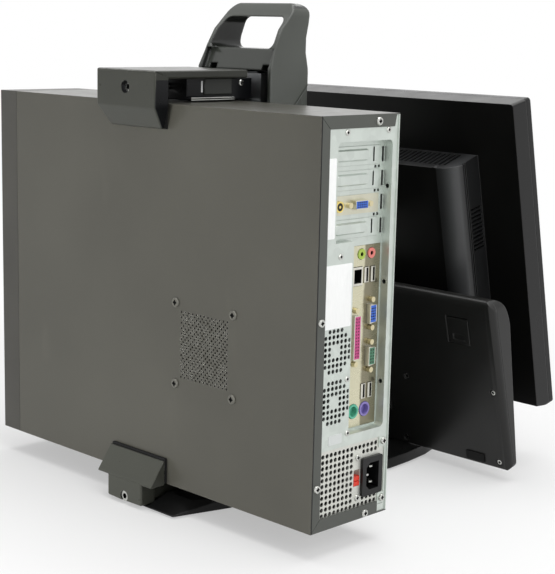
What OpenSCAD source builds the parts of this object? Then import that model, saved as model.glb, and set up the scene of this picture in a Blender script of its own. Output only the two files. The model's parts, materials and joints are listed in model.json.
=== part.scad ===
// Slim desktop computer clamped to a carry stand, with a monitor in front and a keyboard stowed between.
// X runs along the computer from its rear panel (-) to its front bezel (+).
// Y runs from the screen (-) to the computer's outer side (+). Z is up from the floor.
// The origin is on the floor, under the middle of the stand's column.

/* [Computer case] */
// Depth of the case, rear panel to front bezel
pc_depth = 442; // [430:1:470]
// Width of the case, its slim direction
pc_width = 97; // [94:1:104]
// Height of the case
pc_height = 350; // [345:1:370]
// Height of the case's underside above the floor
pc_lift = 25; // [23:0.5:30]
// Thickness of the sheet metal
sheet = 1; // [0.8:0.1:1.2]
// Depth of the plastic front bezel
bezel_depth = 27; // [20:1:36]
// Wall of the plastic front bezel
bezel_wall = 3; // [2:0.5:4]
// Width of the cover's turned-in flanges at the rear
cover_flange = 10; // [8:0.5:11]
// Pitch of the expansion slots
slot_pitch = 20.32; // [20:0.01:20.6]
// Height of the port opening
port_opening_h = 158.75; // [156:0.25:162]
// Width of the port opening
port_opening_w = 44.45; // [44:0.05:46]
// Height of the port opening's middle above the case's underside
port_opening_up = 159.8; // [158:0.2:163]
// Depth of the recessed pan in the rear panel
pan_depth = 9; // [6:0.5:12]
// Side of the square of screws round the side vent
vent_screw_span = 75; // [72:0.5:80]
// Distance of the side vent's middle from the rear panel
vent_in = 135; // [132:1:140]
// Height of the side vent's middle above the case's underside
vent_up = 135.5; // [132:0.5:140]
// Width of the perforated part of the side vent
vent_side = 62; // [50:1:64]
// Pitch of the perforation along a row
vent_pitch = 5; // [4.5:0.1:7]
// Diameter of the perforation's holes
vent_hole = 2; // [1.6:0.1:2.4]

/* [Power supply and fans] */
// Width of the power supply
psu_width = 87; // [85:0.5:87]
// Height of the power supply
psu_height = 65; // [64:0.5:68]
// Length of the power supply
psu_length = 150; // [130:1:175]
// Pitch of the power supply's round holes
psu_pitch = 5.2; // [5:0.1:5.4]
// Diameter of the power supply's round holes
psu_hole = 3.9; // [3:0.1:4.2]
// Side of the small rear fans
rear_fan = 36; // [35:0.5:36]
// Thickness of the small rear fans
rear_fan_t = 15; // [10:1:18]
// Side of the fan in the power supply
psu_fan_side = 50; // [46:1:50]
// Side of the processor fan
cpu_fan_side = 70; // [64:1:72]
// Thickness of the two larger fans
fan_t = 15; // [12:1:20]
// Diameter of each fan's shaft
fan_shaft = 3; // [2.5:0.1:4]
// Travel of the voltage selector
selector_travel = 5.5; // [4:0.5:6]

/* [Drives and buttons] */
// Height of the optical drive's front, along the bay
optical_h = 146; // [144:0.5:148]
// Thickness of the optical drive
optical_t = 41; // [38:0.5:42]
// Length of the optical drive behind the bezel's face
optical_l = 170; // [160:1:180]
// Height of the hard drive as it stands
hard_drive_h = 101.6; // [100:0.2:102]
// Thickness of the hard drive
hard_drive_t = 26; // [20:0.5:27]
// Length of the hard drive
hard_drive_l = 147; // [140:1:148]
// Diameter of the computer's power button
power_button_d = 16; // [12:0.5:20]
// Travel of every push button
button_travel = 1.5; // [1:0.1:2]

/* [Stand] */
// Width of the column
col_width = 100; // [90:1:120]
// Depth of the column
col_depth = 50; // [48:0.5:56]
// Wall of the column's plastic shells
col_wall = 3; // [2:0.5:4]
// Width of the metal spine inside the column
spine_width = 60; // [56:1:70]
// Depth of the metal spine
spine_depth = 36; // [36:0.5:40]
// Wall of the metal spine
spine_wall = 3; // [2:0.5:3.5]
// Gap between the column and the case, filled by the back rest and its pads
rest_gap = 16; // [12:0.5:24]
// Thickness of the rubber behind the case
rest_pad_t = 5; // [3:0.5:8]
// Height of the carry handle's top above the mouth for the arm
handle_rise = 63; // [58:1:77]
// Height of the foot plate's top at the front
foot_top = 12; // [10:0.5:14]
// Height of the foot's raised part under the computer
foot_block_top = 22; // [20:0.5:22.5]
// Thickness of the rubber under the foot
foot_pad_t = 2; // [1:0.5:3]
// Half width of the foot at its widest
foot_half_w = 98; // [94:1:110]
// Length of the clamp jaws along the case
jaw_width = 81; // [74:1:90]
// Thickness of the jaws outside the case
jaw_t = 20; // [18:0.5:24]
// How far each jaw reaches over the case's side
jaw_hook = 22.5; // [18:0.5:28]
// Clearance between a jaw and the case
jaw_gap = 0.4; // [0.3:0.1:0.8]
// Thickness of the rubber on the jaws
jaw_pad_t = 2.6; // [2:0.1:4]
// Diameter of the clamp screws
clamp_screw_d = 6; // [5:0.5:7]
// Travel of the lift
lift_travel = 95; // [80:1:100]
// Sliding clearance of the carriage and the arms
slide_gap = 0.6; // [0.4:0.1:1]

/* [Tilt head] */
// Height of the tilt axis above the floor
tilt_z = 252; // [246:1:256]
// Distance of the tilt axis from the column's middle
tilt_y = 120; // [118:1:126]
// Lean of the screen from upright
tilt_angle = 12.6; // [8:0.2:14]
// Diameter of the tilt shaft
tilt_shaft = 10; // [8:0.5:12]
// Radial running clearance of shafts and pins
run_gap = 0.05; // [0.03:0.01:0.1]
// Hole spacing of the mounting plate
plate_pitch = 75; // [72:1:80]
// Diameter of the mounting screws
plate_screw = 4; // [3:0.5:5]
// Thickness of the mounting plate
plate_t = 3; // [2:0.5:4]

/* [Monitor] */
// Width of the monitor
mon_width = 380; // [370:1:410]
// Height of the monitor
mon_height = 325; // [318:1:335]
// Height of the monitor's upper edge above the tilt axis, along the screen
mon_above = 111; // [100:1:118]
// Thickness of the monitor's edge
mon_edge = 29; // [27:0.5:34]
// Thickness of the front bezel within that edge
mon_bezel_t = 7; // [6.5:0.5:9]
// Width of the visible picture
screen_w = 338; // [330:1:340]
// Height of the visible picture
screen_h = 270; // [264:1:274]
// Wall of the monitor's plastic parts
mon_wall = 2.5; // [2:0.25:3]
// Half width of the hump on the back
hump_half = 143; // [125:1:150]
// How far the hump stands out from the back
hump_deep = 40; // [38:0.5:46]
// Height of the hump's top above the tilt axis
hump_up = 57; // [57:1:64]
// Depth of the hump's lower edge below the tilt axis
hump_down = 102; // [94:1:103]
// Pitch of the slots in the hump's top
hump_slot_pitch = 6.2; // [5.8:0.1:8]

/* [Keyboard] */
// Width of the keyboard
kb_width = 412; // [404:1:430]
// Length of the keyboard from space bar edge to cable edge
kb_length = 183; // [180:1:190]
// Thickness of the keyboard at the space bar edge
kb_thin = 12; // [12:0.5:15]
// Thickness of the keyboard at its thickest
kb_thick = 26; // [25:0.5:30]
// Lean of the stowed keyboard from upright
kb_lean = 14.7; // [13:0.1:16]
// Distance of the keyboard's lower edge from the column's middle
kb_out = 168; // [166:1:176]
// Depth of the keyboard's bottom case
kb_tray = 8; // [7:0.25:9]
// Rim of the top case beside the keys
kb_rim = 5.75; // [4.5:0.25:9]
// Height of a keycap above the top case
key_rise = 5; // [3:0.5:6]
// Travel of the space bar
key_travel = 3; // [2:0.5:3.5]
// Diameter of the flip feet's pins
foot_pin = 3; // [2:0.5:3.5]

/* [Hidden] */
$fn = 48;

// Small overshoot of every cut
cut = 1;
// Clearance of screws in their holes and of lids, plates and boards in their openings
fit = 0.2;
// Gap round a push button
button_gap = 0.4;

// Computer case corners
pc_x0 = -pc_depth / 2;
pc_x1 = pc_depth / 2;
pc_y0 = col_depth / 2 + rest_gap;
pc_y1 = pc_y0 + pc_width;
pc_z0 = pc_lift;
pc_z1 = pc_lift + pc_height;
cover_x1 = pc_x1 - bezel_depth;
// Inside faces of the case
in_x0 = pc_x0 + 2 * sheet;
in_y0 = pc_y0 + sheet;
in_y1 = pc_y1 - sheet;
in_z0 = pc_z0 + sheet;
in_z1 = pc_z1 - sheet;
// Side vent
vent_x = pc_x0 + vent_in;
vent_z = pc_z0 + vent_up;
vent_screw_d = 4;
vent_screw_head = 9;
// Recessed pan, port opening and slots
pan_floor_x = pc_x0 + sheet + pan_depth;
board_y = in_y0 + 7.9;
board_t = 1.6;
board_face = board_y;
port_y0 = board_face - 0.9;
port_z = pc_z0 + port_opening_up;
pan_round = 5;
pan_y0 = in_y0 + 5;
pan_y1 = pc_y1 - 21.2;
pan_low_y1 = port_y0 + port_opening_w + 0.5;
pan_z0 = port_z - port_opening_h / 2 - 3;
pan_step_z = port_z + port_opening_h / 2 + 5;
slot_z0 = port_z + port_opening_h / 2 + 15.2;
slot_y0 = board_face + 7;
slot_y1 = pan_y1 - 3;
slot_open = 12;
slot_count = 4;
card_slot = 1;
pan_z1 = slot_z0 + (slot_count - 1) * slot_pitch + 13.6;
pan_wall_holes = [port_z - 42, port_z + 46, slot_z0 + 34];
// Rear screws as [y, z]
rear_screw_d = 3;
rear_screw_head = 7;
flange_mid = cover_flange / 2 + sheet;
cover_screw_at = [
    [pc_y0 + 27, pc_z1 - flange_mid],
    [pc_y1 - flange_mid, pc_z0 + 181],
    [pc_y1 - flange_mid, pc_z0 + 39],
    [pc_y0 + 29, pc_z0 + 4]
];
// Small rear fans
rear_fan_y = pc_y1 - 25.8;
rear_fan_z = [pc_z0 + 154.5, pc_z0 + 110.4];
grille_pitch = 4.9;
grille_hole = 3.6;
// Power supply
psu_y0 = in_y0 + 1;
psu_y1 = psu_y0 + psu_width;
psu_z0 = in_z0 + 5;
psu_z1 = psu_z0 + psu_height;
psu_x0 = in_x0;
psu_wall = 1;
psu_screw_at = [[psu_y0 + 4, psu_z1 - 6], [psu_y0 + 4, psu_z0 + 7]];
inlet_w = 26;
inlet_h = 34.5;
inlet_y = psu_y0 + 18.5;
inlet_z = psu_z0 + 30.6;
inlet_socket_w = 16;
inlet_socket_h = 24;
selector_w = 7;
selector_h = 14;
selector_y = inlet_y + inlet_w / 2 + 4.8;
selector_z = inlet_z + 0.7;
psu_cols = 8;
psu_rows = 11;
psu_grid_y = psu_y1 - 7.2;
psu_grid_z = psu_z0 + psu_height / 2 - (psu_rows - 1) / 2 * psu_pitch;
psu_fan_y = psu_y1 - psu_wall - psu_fan_side / 2;
psu_fan_in = 10;
psu_fan_z = psu_z0 + psu_height / 2;
// Processor cooler under the side vent
cpu_base = 1.5;
heatsink_h = 32;
heatsink_y1 = board_face + cpu_base + heatsink_h;
cpu_fan_y1 = heatsink_y1 + fan_t;
duct_wall = 1.6;
duct_d = cpu_fan_side - 2;
duct_flange = vent_screw_span + 10;
duct_y0 = cpu_fan_y1 + 1;
// Drives
front_wall_x = cover_x1 - sheet;
optical_y1 = in_y1 - 7;
optical_y0 = optical_y1 - optical_t;
optical_z1 = in_z1 - 12;
optical_z0 = optical_z1 - optical_h;
optical_x0 = pc_x1 - optical_l;
drive_wall = 1;
tray_t = 6;
tray_y = optical_y0 + 22;
tray_side = 8;
tray_l = 140;
tray_face = 4;
eject_y = optical_y0 + 8;
eject_z = optical_z0 + 22;
eject_w = 10;
eject_h = 5;
hard_y0 = in_y0 + 18;
hard_z0 = in_z0 + 8;
hard_x1 = front_wall_x - 4;
cage_t = 1.2;
power_y = pc_y0 + 30;
power_z = pc_z0 + 150;

// Column and handle
col_y = col_depth / 2;
col_x = col_width / 2;
spine_x = spine_width / 2;
spine_y = spine_depth / 2;
arm_z0 = pc_z1 + 1.5;
arm_z1 = arm_z0 + 19.5;
arm_lift = 6;
mouth_z1 = arm_z1 + arm_lift + 1;
handle_top = mouth_z1 + handle_rise;
spine_top = mouth_z1 - 3;
// The seam between the shells and the handle slopes from the computer's side up to the screen's side
seam_back = arm_z0 - 41.5;
seam_front = arm_z1 - 7;
shoulder_z = handle_top - 61;
handle_cheek = 4;
window_z0 = handle_top - 43;
window_z1 = handle_top - 13;
window_half = 43;
// Back rest between the column and the computer
rest_half = 42;
rest_z0 = pc_z0 + 25;
rest_z1 = pc_z1 - 30;
// Slots for the tongues of the arms
tongue_half = 8;
slot_half = tongue_half + slide_gap;
// Top arm and jaw
arm_half = 26;
arm_rail = 6;
arm_y0 = col_y + 1;
arm_y1 = pc_y1 - 30;
arm_plate_t = 5;
jaw_half = jaw_width / 2;
jaw_y1 = pc_y1 + jaw_t;
jaw_in = pc_y1 + jaw_gap + jaw_pad_t;
jaw_top = arm_z1 + slide_gap + 7.5;
jaw_back = col_y + 20;
jaw_lip = 4.5;
jaw_narrow = 5;
clamp_z = arm_z0 + 12;
clamp_head_d = 10;
clamp_recess_d = 11.5;
// Bottom jaw
low_half = 24.5;
low_z0 = 3.5;
low_screw_z = 8;
channel_half = low_half + 1.5;
low_arm_half = 19;
low_arm_z1 = 19;
channel_y0 = pc_y1 - 50;
low_arm_y0 = channel_y0 + 4;
foot_back = pc_y1 + 13.5;
foot_front = -237;

// Lift carriage and tilt head, in front of the column
lift_half = 33;
lift_z0 = tilt_z - 40;
lift_z1 = tilt_z + 50;
lift_plate_t = 11;
lift_slot_z1 = lift_z1 - 12 + lift_travel + 1;
block_half = spine_x - spine_wall - slide_gap;
arm_cheek_in = 22;
arm_cheek_t = 8;
tilt_barrel = 26;
roll_d = 18;
roll_len = 24;
// Monitor, measured from the tilt axis with the screen upright
hump_y = -(tilt_barrel / 2 + 16);
mon_back_y = hump_y - hump_deep;
mon_front_y = mon_back_y - mon_edge;
mon_cover_front = mon_front_y + mon_bezel_t;
mon_z1 = mon_above;
mon_z0 = mon_above - mon_height;
mon_mid = (mon_z0 + mon_z1) / 2;
mon_corner = 3.5;
mon_rake = 7;
screen_mid = mon_z1 - 21 - screen_h / 2;
panel_margin = 9;
panel_t = 14;
bezel_lip = 2.2;
panel_front = mon_front_y + bezel_lip;
plate_half = plate_pitch / 2 + 8;
boss_d = plate_screw + 6;
boss_len = 10;
hump_draft = 4;
hump_round_x = 28;
hump_round_y = 15;
hump_slot_w = 3;
fin_count = 11;
fin_pitch = 4.2;
menu_button_x = -mon_width / 2 + 60;
power_button_x = -mon_width / 2 + 30;
mon_button_w = 14;
mon_button_h = 6;
mon_button_z = mon_z0 + 15;

// Keyboard, measured from the lower edge of its underside, leaning
kb_floor = foot_top + 0.3;
kb_edge = 3;
kb_z = kb_floor + kb_edge * sin(kb_lean) - 1.5;
kb_half = kb_width / 2;
kb_low_round = 6;
kb_high_round = 12;
kb_roll = kb_tray - 1.25;
kb_roll_w = 9;
kb_side = 7;
kb_swell = kb_length - 33;
kb_wedge = atan((kb_thick - kb_thin) / (kb_swell - 4));
key_gap = 1.6;
key_well = 3;
key_start = 14;
key_rows = 5;
main_keys = 15;
nav_keys = 3;
pad_keys = 4;
key_pitch = (kb_width - 2 * kb_rim) / (main_keys + nav_keys + pad_keys + 0.5);
block_gap = 0.25 * key_pitch;
keys_w = (main_keys + nav_keys + pad_keys) * key_pitch + 2 * block_gap;
well_margin = 1.5;
space_from = 4;
space_len = 6;
space_stem = 4;
flip_x = kb_half - 44;
flip_w = 26;
flip_l = 28;
flip_t = 5;
flip_z1 = kb_length - 22;
flip_gap = 0.5;
kb_screw_d = 3;
kb_screw_side = [[kb_half - 120, 82], [kb_half - 10, 86], [kb_half - 132, 8], [kb_half - 12, 8]];
kb_screw_at = [for (sx = [-1, 1], p = kb_screw_side) [sx * p[0], p[1]]];
kb_foot_x = kb_half - 41;
kb_foot_w = 22;
kb_foot_h = 9;
kb_foot_t = 1.5;
cradle_half = 62;
cradle_t = 4;
cradle_gap = 0.5;
cradle_low = 40;
cradle_high = 122;

// Points along a circular or elliptical arc
function arc(c, r, a0, a1, n = 8) =
    [for (i = [0:n]) let (a = a0 + (a1 - a0) * i / n) [c[0] + r[0] * cos(a), c[1] + r[1] * sin(a)]];

// A closed outline made from its right half
function both_sides(half) =
    concat(half, [for (i = [len(half) - 1:-1:0]) [-half[i][0], half[i][1]]]);

// Height of the seam between the shells and the handle at a place along Y
function seam_z(y) = seam_back + (seam_front - seam_back) * (col_y - y) / col_depth;

module slab_yz(x, t) {
    translate([x, 0, 0])
        rotate([90, 0, 90])
            linear_extrude(t)
                children();
}

module slab_xz(y, t) {
    translate([0, y + t, 0])
        rotate([90, 0, 0])
            linear_extrude(t)
                children();
}

module slab_xy(z, t) {
    translate([0, 0, z])
        linear_extrude(t)
            children();
}

module block(low, high) {
    translate(low)
        cube(high - low);
}

module rod_x(at, len, d) {
    translate(at)
        rotate([0, 90, 0])
            cylinder(h = len, d = d);
}

module rod_y(at, len, d) {
    translate(at)
        rotate([-90, 0, 0])
            cylinder(h = len, d = d);
}

module round_rect(w, h, r) {
    square([w - 2 * r, h], center = true);
    square([w, h - 2 * r], center = true);
    for (sx = [-1, 1], sz = [-1, 1])
        translate([sx * (w / 2 - r), sz * (h / 2 - r)])
            circle(r);
}

// Frame of the monitor: the tilt axis is its X axis
module at_tilt() {
    translate([0, -tilt_y, tilt_z])
        rotate([-tilt_angle, 0, 0])
            children();
}

// Frame of the keyboard: its underside is the plane y = 0, its keys face -y
module at_keyboard() {
    translate([0, -kb_out, kb_z])
        rotate([-kb_lean, 0, 0])
            children();
}

// Frame of the key face: y = 0 is the top case's surface
module at_keys() {
    at_keyboard()
        translate([0, -kb_thin, 4])
            rotate([kb_wedge, 0, 0])
                children();
}

// Stand

// The foot's tail is cut away on the bezel's side, beside the lower jaw
foot_rear = [[24, foot_back], [62, foot_back - 35.5], [78, foot_back - 56]];
foot_tail = [[-62, foot_back], [-78, foot_back - 56]];
foot_side = [
    [foot_half_w, -112], [foot_half_w - 2, -142], [foot_half_w - 7, -177], [foot_half_w - 16, -205],
    [foot_half_w - 40, foot_front]
];
foot_outline = concat(
    foot_rear, foot_side, [for (i = [len(foot_side) - 1:-1:0]) [-foot_side[i][0], foot_side[i][1]]],
    [foot_tail[1], foot_tail[0]]
);

module foot_plate() {
    draft = 1.5;
    tail_flat = foot_back - 25.5;
    block_half_w = 52;
    block_y1 = pc_y1 - 33;
    lip_y = -kb_out - kb_thick * 0.6;
    color("dimgray")
        difference() {
            union() {
                hull() {
                    slab_xy(foot_pad_t, 1)
                        polygon(foot_outline);
                    slab_xy(foot_top - 1, 1)
                        polygon([for (p = foot_outline) [p[0] - sign(p[0]) * draft, min(p[1], tail_flat)]]);
                }
                hull() {
                    slab_xy(foot_top - 1, 1)
                        polygon(both_sides([[block_half_w + 4, block_y1 + 8],
                            [block_half_w + 4, -col_y - 8]]));
                    slab_xy(foot_block_top - 1, 1)
                        polygon(both_sides([[block_half_w, block_y1], [block_half_w, -col_y - 4]]));
                }
                // Lip in front of the stowed keyboard
                block([-cradle_half, lip_y - 3, foot_top - 1], [cradle_half, lip_y, foot_top + 9]);
            }
            block([-channel_half, channel_y0, low_z0 - 0.5],
                [channel_half, foot_back + cut, foot_block_top + cut]);
        }
}

module rubber_pads() {
    pad_w = 14;
    color("black") {
        for (sx = [-1, 1], p = [[48, foot_back - 46], [40, -20], [40, foot_front + 32]])
            translate([sx * p[0], p[1], 0])
                cylinder(h = foot_pad_t, d = 24);
        for (sx = [-1, 1])
            block([sx * 38 - pad_w / 2, pc_y0 + 6, foot_block_top], [sx * 38 + pad_w / 2, pc_y1 - 38, pc_z0]);
        for (sx = [-1, 1])
            block([sx * 32 - pad_w / 2, pc_y0 - rest_pad_t, rest_z0 + 20],
                [sx * 32 + pad_w / 2, pc_y0, rest_z1 - 15]);
        cylinder(h = foot_pad_t, d = 30);
    }
}

module column_spine() {
    color("silver")
        difference() {
            block([-spine_x, -spine_y, foot_block_top], [spine_x, spine_y, spine_top]);
            block([-spine_x + spine_wall, -spine_y + spine_wall, foot_block_top - cut],
                [spine_x - spine_wall, spine_y - spine_wall, spine_top + cut]);
            block([-slot_half, -spine_y - cut, lift_z0 + 6], [slot_half, 0, spine_top + cut]);
            block([-slot_half, 0, arm_z0 - 45], [slot_half, spine_y + cut, spine_top + cut]);
        }
}

// Side view of the column and handle together
col_profile = concat(
    [[col_y, foot_block_top], [col_y, shoulder_z], [col_y - 8, shoulder_z + 20],
        [col_y - 17, shoulder_z + 36],
        [col_y - 31, handle_top - 11]],
    arc([-col_y + 8, handle_top - 12], [12, 12], 80, 90, 3),
    arc([-col_y + 2, handle_top - 8], [8, 8], 90, 180, 6),
    [[-col_y - 4, handle_top - 18], [-col_y, handle_top - 32], [-col_y + 1, handle_top - 46],
        [-col_y, shoulder_z - 4], [-col_y, foot_block_top]]
);

module shell_side_view(y0, y1) {
    polygon([[y0, foot_block_top], [y1, foot_block_top], [y1, seam_z(y1)], [y0, seam_z(y0)]]);
}

module column_hollow() {
    block([-col_x + col_wall, -col_y + col_wall, foot_block_top - cut],
        [col_x - col_wall, col_y - col_wall, handle_top]);
}

module column_rear_shell() {
    color([0.33, 0.33, 0.32])
        difference() {
            slab_yz(-col_x, col_width)
                shell_side_view(0, col_y);
            column_hollow();
            block([-slot_half, 0, arm_z0 - 45], [slot_half, col_y + cut, handle_top]);
        }
}

module column_front_shell() {
    color([0.33, 0.33, 0.32])
        difference() {
            slab_yz(-col_x, col_width)
                shell_side_view(-col_y, 0);
            column_hollow();
            block([-slot_half, -col_y - cut, lift_z0 + 6], [slot_half, 0, lift_slot_z1]);
        }
}

module carry_handle() {
    front_view = both_sides(concat(
        [[col_x, seam_back - cut], [col_x, shoulder_z], [col_x - 2.5, shoulder_z + 15]],
        arc([col_x - 18.5, handle_top - 14], [14, 14], 0, 90, 8)
    ));
    window = both_sides(concat(
        arc([window_half - 6, window_z0 + 6], [6, 6], -90, 0, 5),
        arc([window_half - 10, window_z1 - 8], [8, 8], 0, 90, 6)
    ));
    color([0.36, 0.36, 0.35])
        difference() {
            intersection() {
                slab_yz(-col_x, col_width)
                    polygon(col_profile);
                slab_xz(-2 * col_depth, 4 * col_depth)
                    polygon(front_view);
                slab_yz(-col_x, col_width)
                    polygon([[col_y, seam_back], [col_y, handle_top], [-col_depth, handle_top],
                        [-col_depth, seam_z(-col_depth)]]);
            }
            // Opening under the front panel, for the arm and the spine
            block([-col_x + handle_cheek, -col_y + col_wall, seam_back - cut],
                [col_x - handle_cheek, col_y + cut, mouth_z1]);
            block([-slot_half, -col_y - cut, seam_back - cut],
                [slot_half, -col_y + col_wall + cut, lift_slot_z1]);
            // Window for the hand
            slab_xz(-2 * col_depth, 4 * col_depth)
                polygon(window);
            // The front panel sits back between the cheeks
            slab_yz(-col_x + handle_cheek, col_width - 2 * handle_cheek)
                polygon([[col_y + cut, mouth_z1 - cut], [col_y + cut, window_z0], [col_y - 14, window_z0],
                    [col_y - 5, mouth_z1 - cut]]);
            // Square notches beside the arm
            for (sx = [-1, 1])
                block([sx * 36 - 5, -col_y + 20, mouth_z1 - cut], [sx * 36 + 5, col_y, mouth_z1 + 5]);
        }
}

module pc_backrest() {
    color("dimgray")
        difference() {
            block([-rest_half, col_y, rest_z0], [rest_half, pc_y0 - rest_pad_t, rest_z1]);
            for (z = [rest_z0 + 30:60:rest_z1 - 25])
                block([-20, col_y - cut, z], [20, pc_y0, z + 40]);
        }
}

module keyboard_cradle() {
    rib_half = 34;
    rib_t = 5;
    color("dimgray") {
        at_keyboard()
            block([-cradle_half, cradle_gap, cradle_low], [cradle_half, cradle_gap + cradle_t, cradle_high]);
        difference() {
            for (sx = [-1, 1])
                translate([sx * rib_half - rib_t / 2, 0, 0])
                    slab_yz(0, rib_t)
                        polygon([[-col_y, foot_block_top + 6], [-col_y, 120], [-kb_out + 20, 128],
                            [-kb_out - 4, foot_block_top + 6]]);
            at_keyboard()
                block([-cradle_half, -200, -60], [cradle_half, cradle_gap + cradle_t / 2, 300]);
        }
    }
}

module top_arm() {
    inner_half = block_half - 2;
    slider_y0 = arm_y0 + 27;
    inner_y1 = spine_y - spine_wall - slide_gap;
    color([0.2, 0.2, 0.2])
        difference() {
            union() {
                block([-arm_half, arm_y0, arm_z0], [arm_half, arm_y1, arm_z1]);
                block([-arm_half - arm_rail, slider_y0, arm_z0], [arm_half + arm_rail, arm_y1, arm_z0 + 3]);
                block([-arm_half - 1.5, slider_y0, arm_z0 + 5], [arm_half + 1.5, arm_y1 - 21, arm_z1]);
                block([-tongue_half, inner_y1 - cut, arm_z0 - 22], [tongue_half, arm_y0 + cut, arm_z1 - 3]);
                block([-inner_half, inner_y1 - arm_plate_t, arm_z0 - 30], [inner_half, inner_y1, arm_z1 - 3]);
            }
            rod_y([0, arm_y0 + 12, clamp_z], arm_y1, clamp_screw_d + 2 * fit);
        }
}

module top_jaw() {
    hook_z = pc_z1 - jaw_hook;
    edge_z = pc_z1 - 3.5;
    color([0.3, 0.3, 0.28])
        difference() {
            slab_yz(-jaw_half, jaw_width)
                polygon([[jaw_y1, edge_z], [jaw_y1, jaw_top - 2], [jaw_y1 - 2, jaw_top], [jaw_back, jaw_top],
                    [jaw_back, arm_z1 + slide_gap], [jaw_in, arm_z1 + slide_gap], [jaw_in, hook_z],
                    [jaw_in + jaw_lip, hook_z]]);
            // The jaw is drawn in towards its lower edge
            for (sx = [-1, 1])
                slab_xz(jaw_in - cut, jaw_t + 2 * cut)
                    polygon([[sx * jaw_half, edge_z], [sx * (jaw_half + cut), edge_z],
                        [sx * (jaw_half + cut), hook_z - cut], [sx * (jaw_half - jaw_narrow), hook_z - cut]]);
            rod_y([0, jaw_in - cut, clamp_z], jaw_t + 2 * cut, clamp_screw_d + 2 * fit);
            rod_y([0, jaw_y1 - 9, clamp_z], 10, clamp_recess_d);
        }
}

module jaw_pad(half, z0, z1) {
    block([-half, pc_y1 + jaw_gap, z0], [half, jaw_in, z1]);
}

module top_jaw_pad() {
    color("black")
        jaw_pad(jaw_half - jaw_narrow, pc_z1 - jaw_hook, pc_z1 - 2);
}

module bottom_jaw_pad() {
    color("black")
        jaw_pad(jaw_half - 2.5, pc_z0 + 1, pc_z0 + jaw_hook + 2);
}

module clamp_screw(at, shank, head_t) {
    difference() {
        union() {
            rod_y(at, head_t, clamp_head_d);
            rod_y(at - [0, shank, 0], shank, clamp_screw_d);
        }
        translate(at + [0, head_t - 2.5, 0])
            rotate([-90, 0, 0])
                cylinder(h = 3 + cut, d = 5.6, $fn = 6);
    }
}

module top_clamp_screw() {
    color("silver")
        clamp_screw([0, jaw_y1 - 9, clamp_z], 70, 5);
}

module bottom_jaw() {
    hook_z = pc_z0 + jaw_hook;
    step_z = pc_z0 - 1;
    color([0.28, 0.28, 0.27])
        difference() {
            union() {
                slab_yz(-jaw_half + 2, jaw_width - 4)
                    polygon([[jaw_y1, step_z], [jaw_y1, step_z + 2], [jaw_in + 2, hook_z], [jaw_in, hook_z],
                        [jaw_in, step_z]]);
                block([-low_half, jaw_in, low_z0], [low_half, jaw_y1, step_z + cut]);
                block([-low_arm_half, low_arm_y0, low_z0 + 1], [low_arm_half, jaw_in + cut, low_arm_z1]);
            }
            rod_y([0, low_arm_y0 - cut, low_screw_z], 90, clamp_screw_d + 2 * fit);
            rod_y([0, jaw_y1 - 6, low_screw_z], 10, clamp_recess_d - 1);
        }
}

module bottom_clamp_screw() {
    color("silver")
        clamp_screw([0, jaw_y1 - 6, low_screw_z], 50, 5);
}

module lift_carriage() {
    plate_y1 = -col_y - slide_gap;
    plate_y0 = plate_y1 - lift_plate_t;
    block_y0 = -spine_y + spine_wall + slide_gap;
    color([0.15, 0.15, 0.15])
        difference() {
            union() {
                block([-lift_half, plate_y0, lift_z0], [lift_half, plate_y1, lift_z1]);
                block([-tongue_half, plate_y1 - cut, lift_z0 + 12],
                    [tongue_half, block_y0 + cut, lift_z1 - 12]);
                block([-block_half, block_y0, lift_z0 + 12], [block_half, block_y0 + 10, lift_z1 - 12]);
                for (sx = [-1, 1])
                    block([sx * (roll_len / 2 + 4) - 2, block_y0, lift_z0 - 6],
                        [sx * (roll_len / 2 + 4) + 2, block_y0 + roll_d / 2 + 4, lift_z0 + 13]);
                for (sx = [-1, 1])
                    translate([sx > 0 ? arm_cheek_in : -arm_cheek_in - arm_cheek_t, 0, 0])
                        slab_yz(0, arm_cheek_t)
                            polygon(concat(
                                [[plate_y0 + cut, lift_z1 - 8], [plate_y0 + cut, lift_z0 + 4]],
                                arc([-tilt_y, tilt_z], [14, 14], -70, -250, 14)
                            ));
            }
            rod_x([-lift_half, -tilt_y, tilt_z], 2 * lift_half, tilt_shaft + 2 * run_gap);
            rod_x([-lift_half, block_y0 + roll_d / 2, lift_z0 + 1], 2 * lift_half, 4 + 2 * run_gap);
        }
}

module lift_spring() {
    block_y0 = -spine_y + spine_wall + slide_gap;
    color("silver") {
        rod_x([-roll_len / 2, block_y0 + roll_d / 2, lift_z0 + 1], roll_len, roll_d - 2);
        rod_x([-roll_len / 2 - 6, block_y0 + roll_d / 2, lift_z0 + 1], roll_len + 12, 4);
    }
}

module tilt_head() {
    barrel_half = arm_cheek_in - slide_gap;
    shaft_half = arm_cheek_in + arm_cheek_t + 3;
    rib_half = 16;
    color([0.12, 0.12, 0.12])
        at_tilt()
            difference() {
                union() {
                    rod_x([-barrel_half, 0, 0], 2 * barrel_half, tilt_barrel);
                    rod_x([-shaft_half, 0, 0], 2 * shaft_half, tilt_shaft);
                    block([-rib_half, hump_y, -tilt_barrel / 2], [rib_half, 0, tilt_barrel / 2]);
                    block([-plate_half, hump_y, -plate_half], [plate_half, hump_y + plate_t, plate_half]);
                }
                for (sx = [-1, 1], sz = [-1, 1])
                    rod_y([sx * plate_pitch / 2, hump_y - cut, sz * plate_pitch / 2], 3 * plate_t,
                        plate_screw + 2 * fit);
            }
}

module plate_screws() {
    color("silver")
        at_tilt()
            for (sx = [-1, 1], sz = [-1, 1])
                difference() {
                    union() {
                        rod_y([sx * plate_pitch / 2, hump_y + plate_t, sz * plate_pitch / 2], 3,
                            2 * plate_screw);
                        rod_y([sx * plate_pitch / 2, hump_y - 8, sz * plate_pitch / 2], 9 + plate_t,
                            plate_screw);
                    }
                    rod_y([sx * plate_pitch / 2, hump_y + plate_t + 1.5, sz * plate_pitch / 2], 3, 2.5);
                }
}

// Monitor

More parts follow.
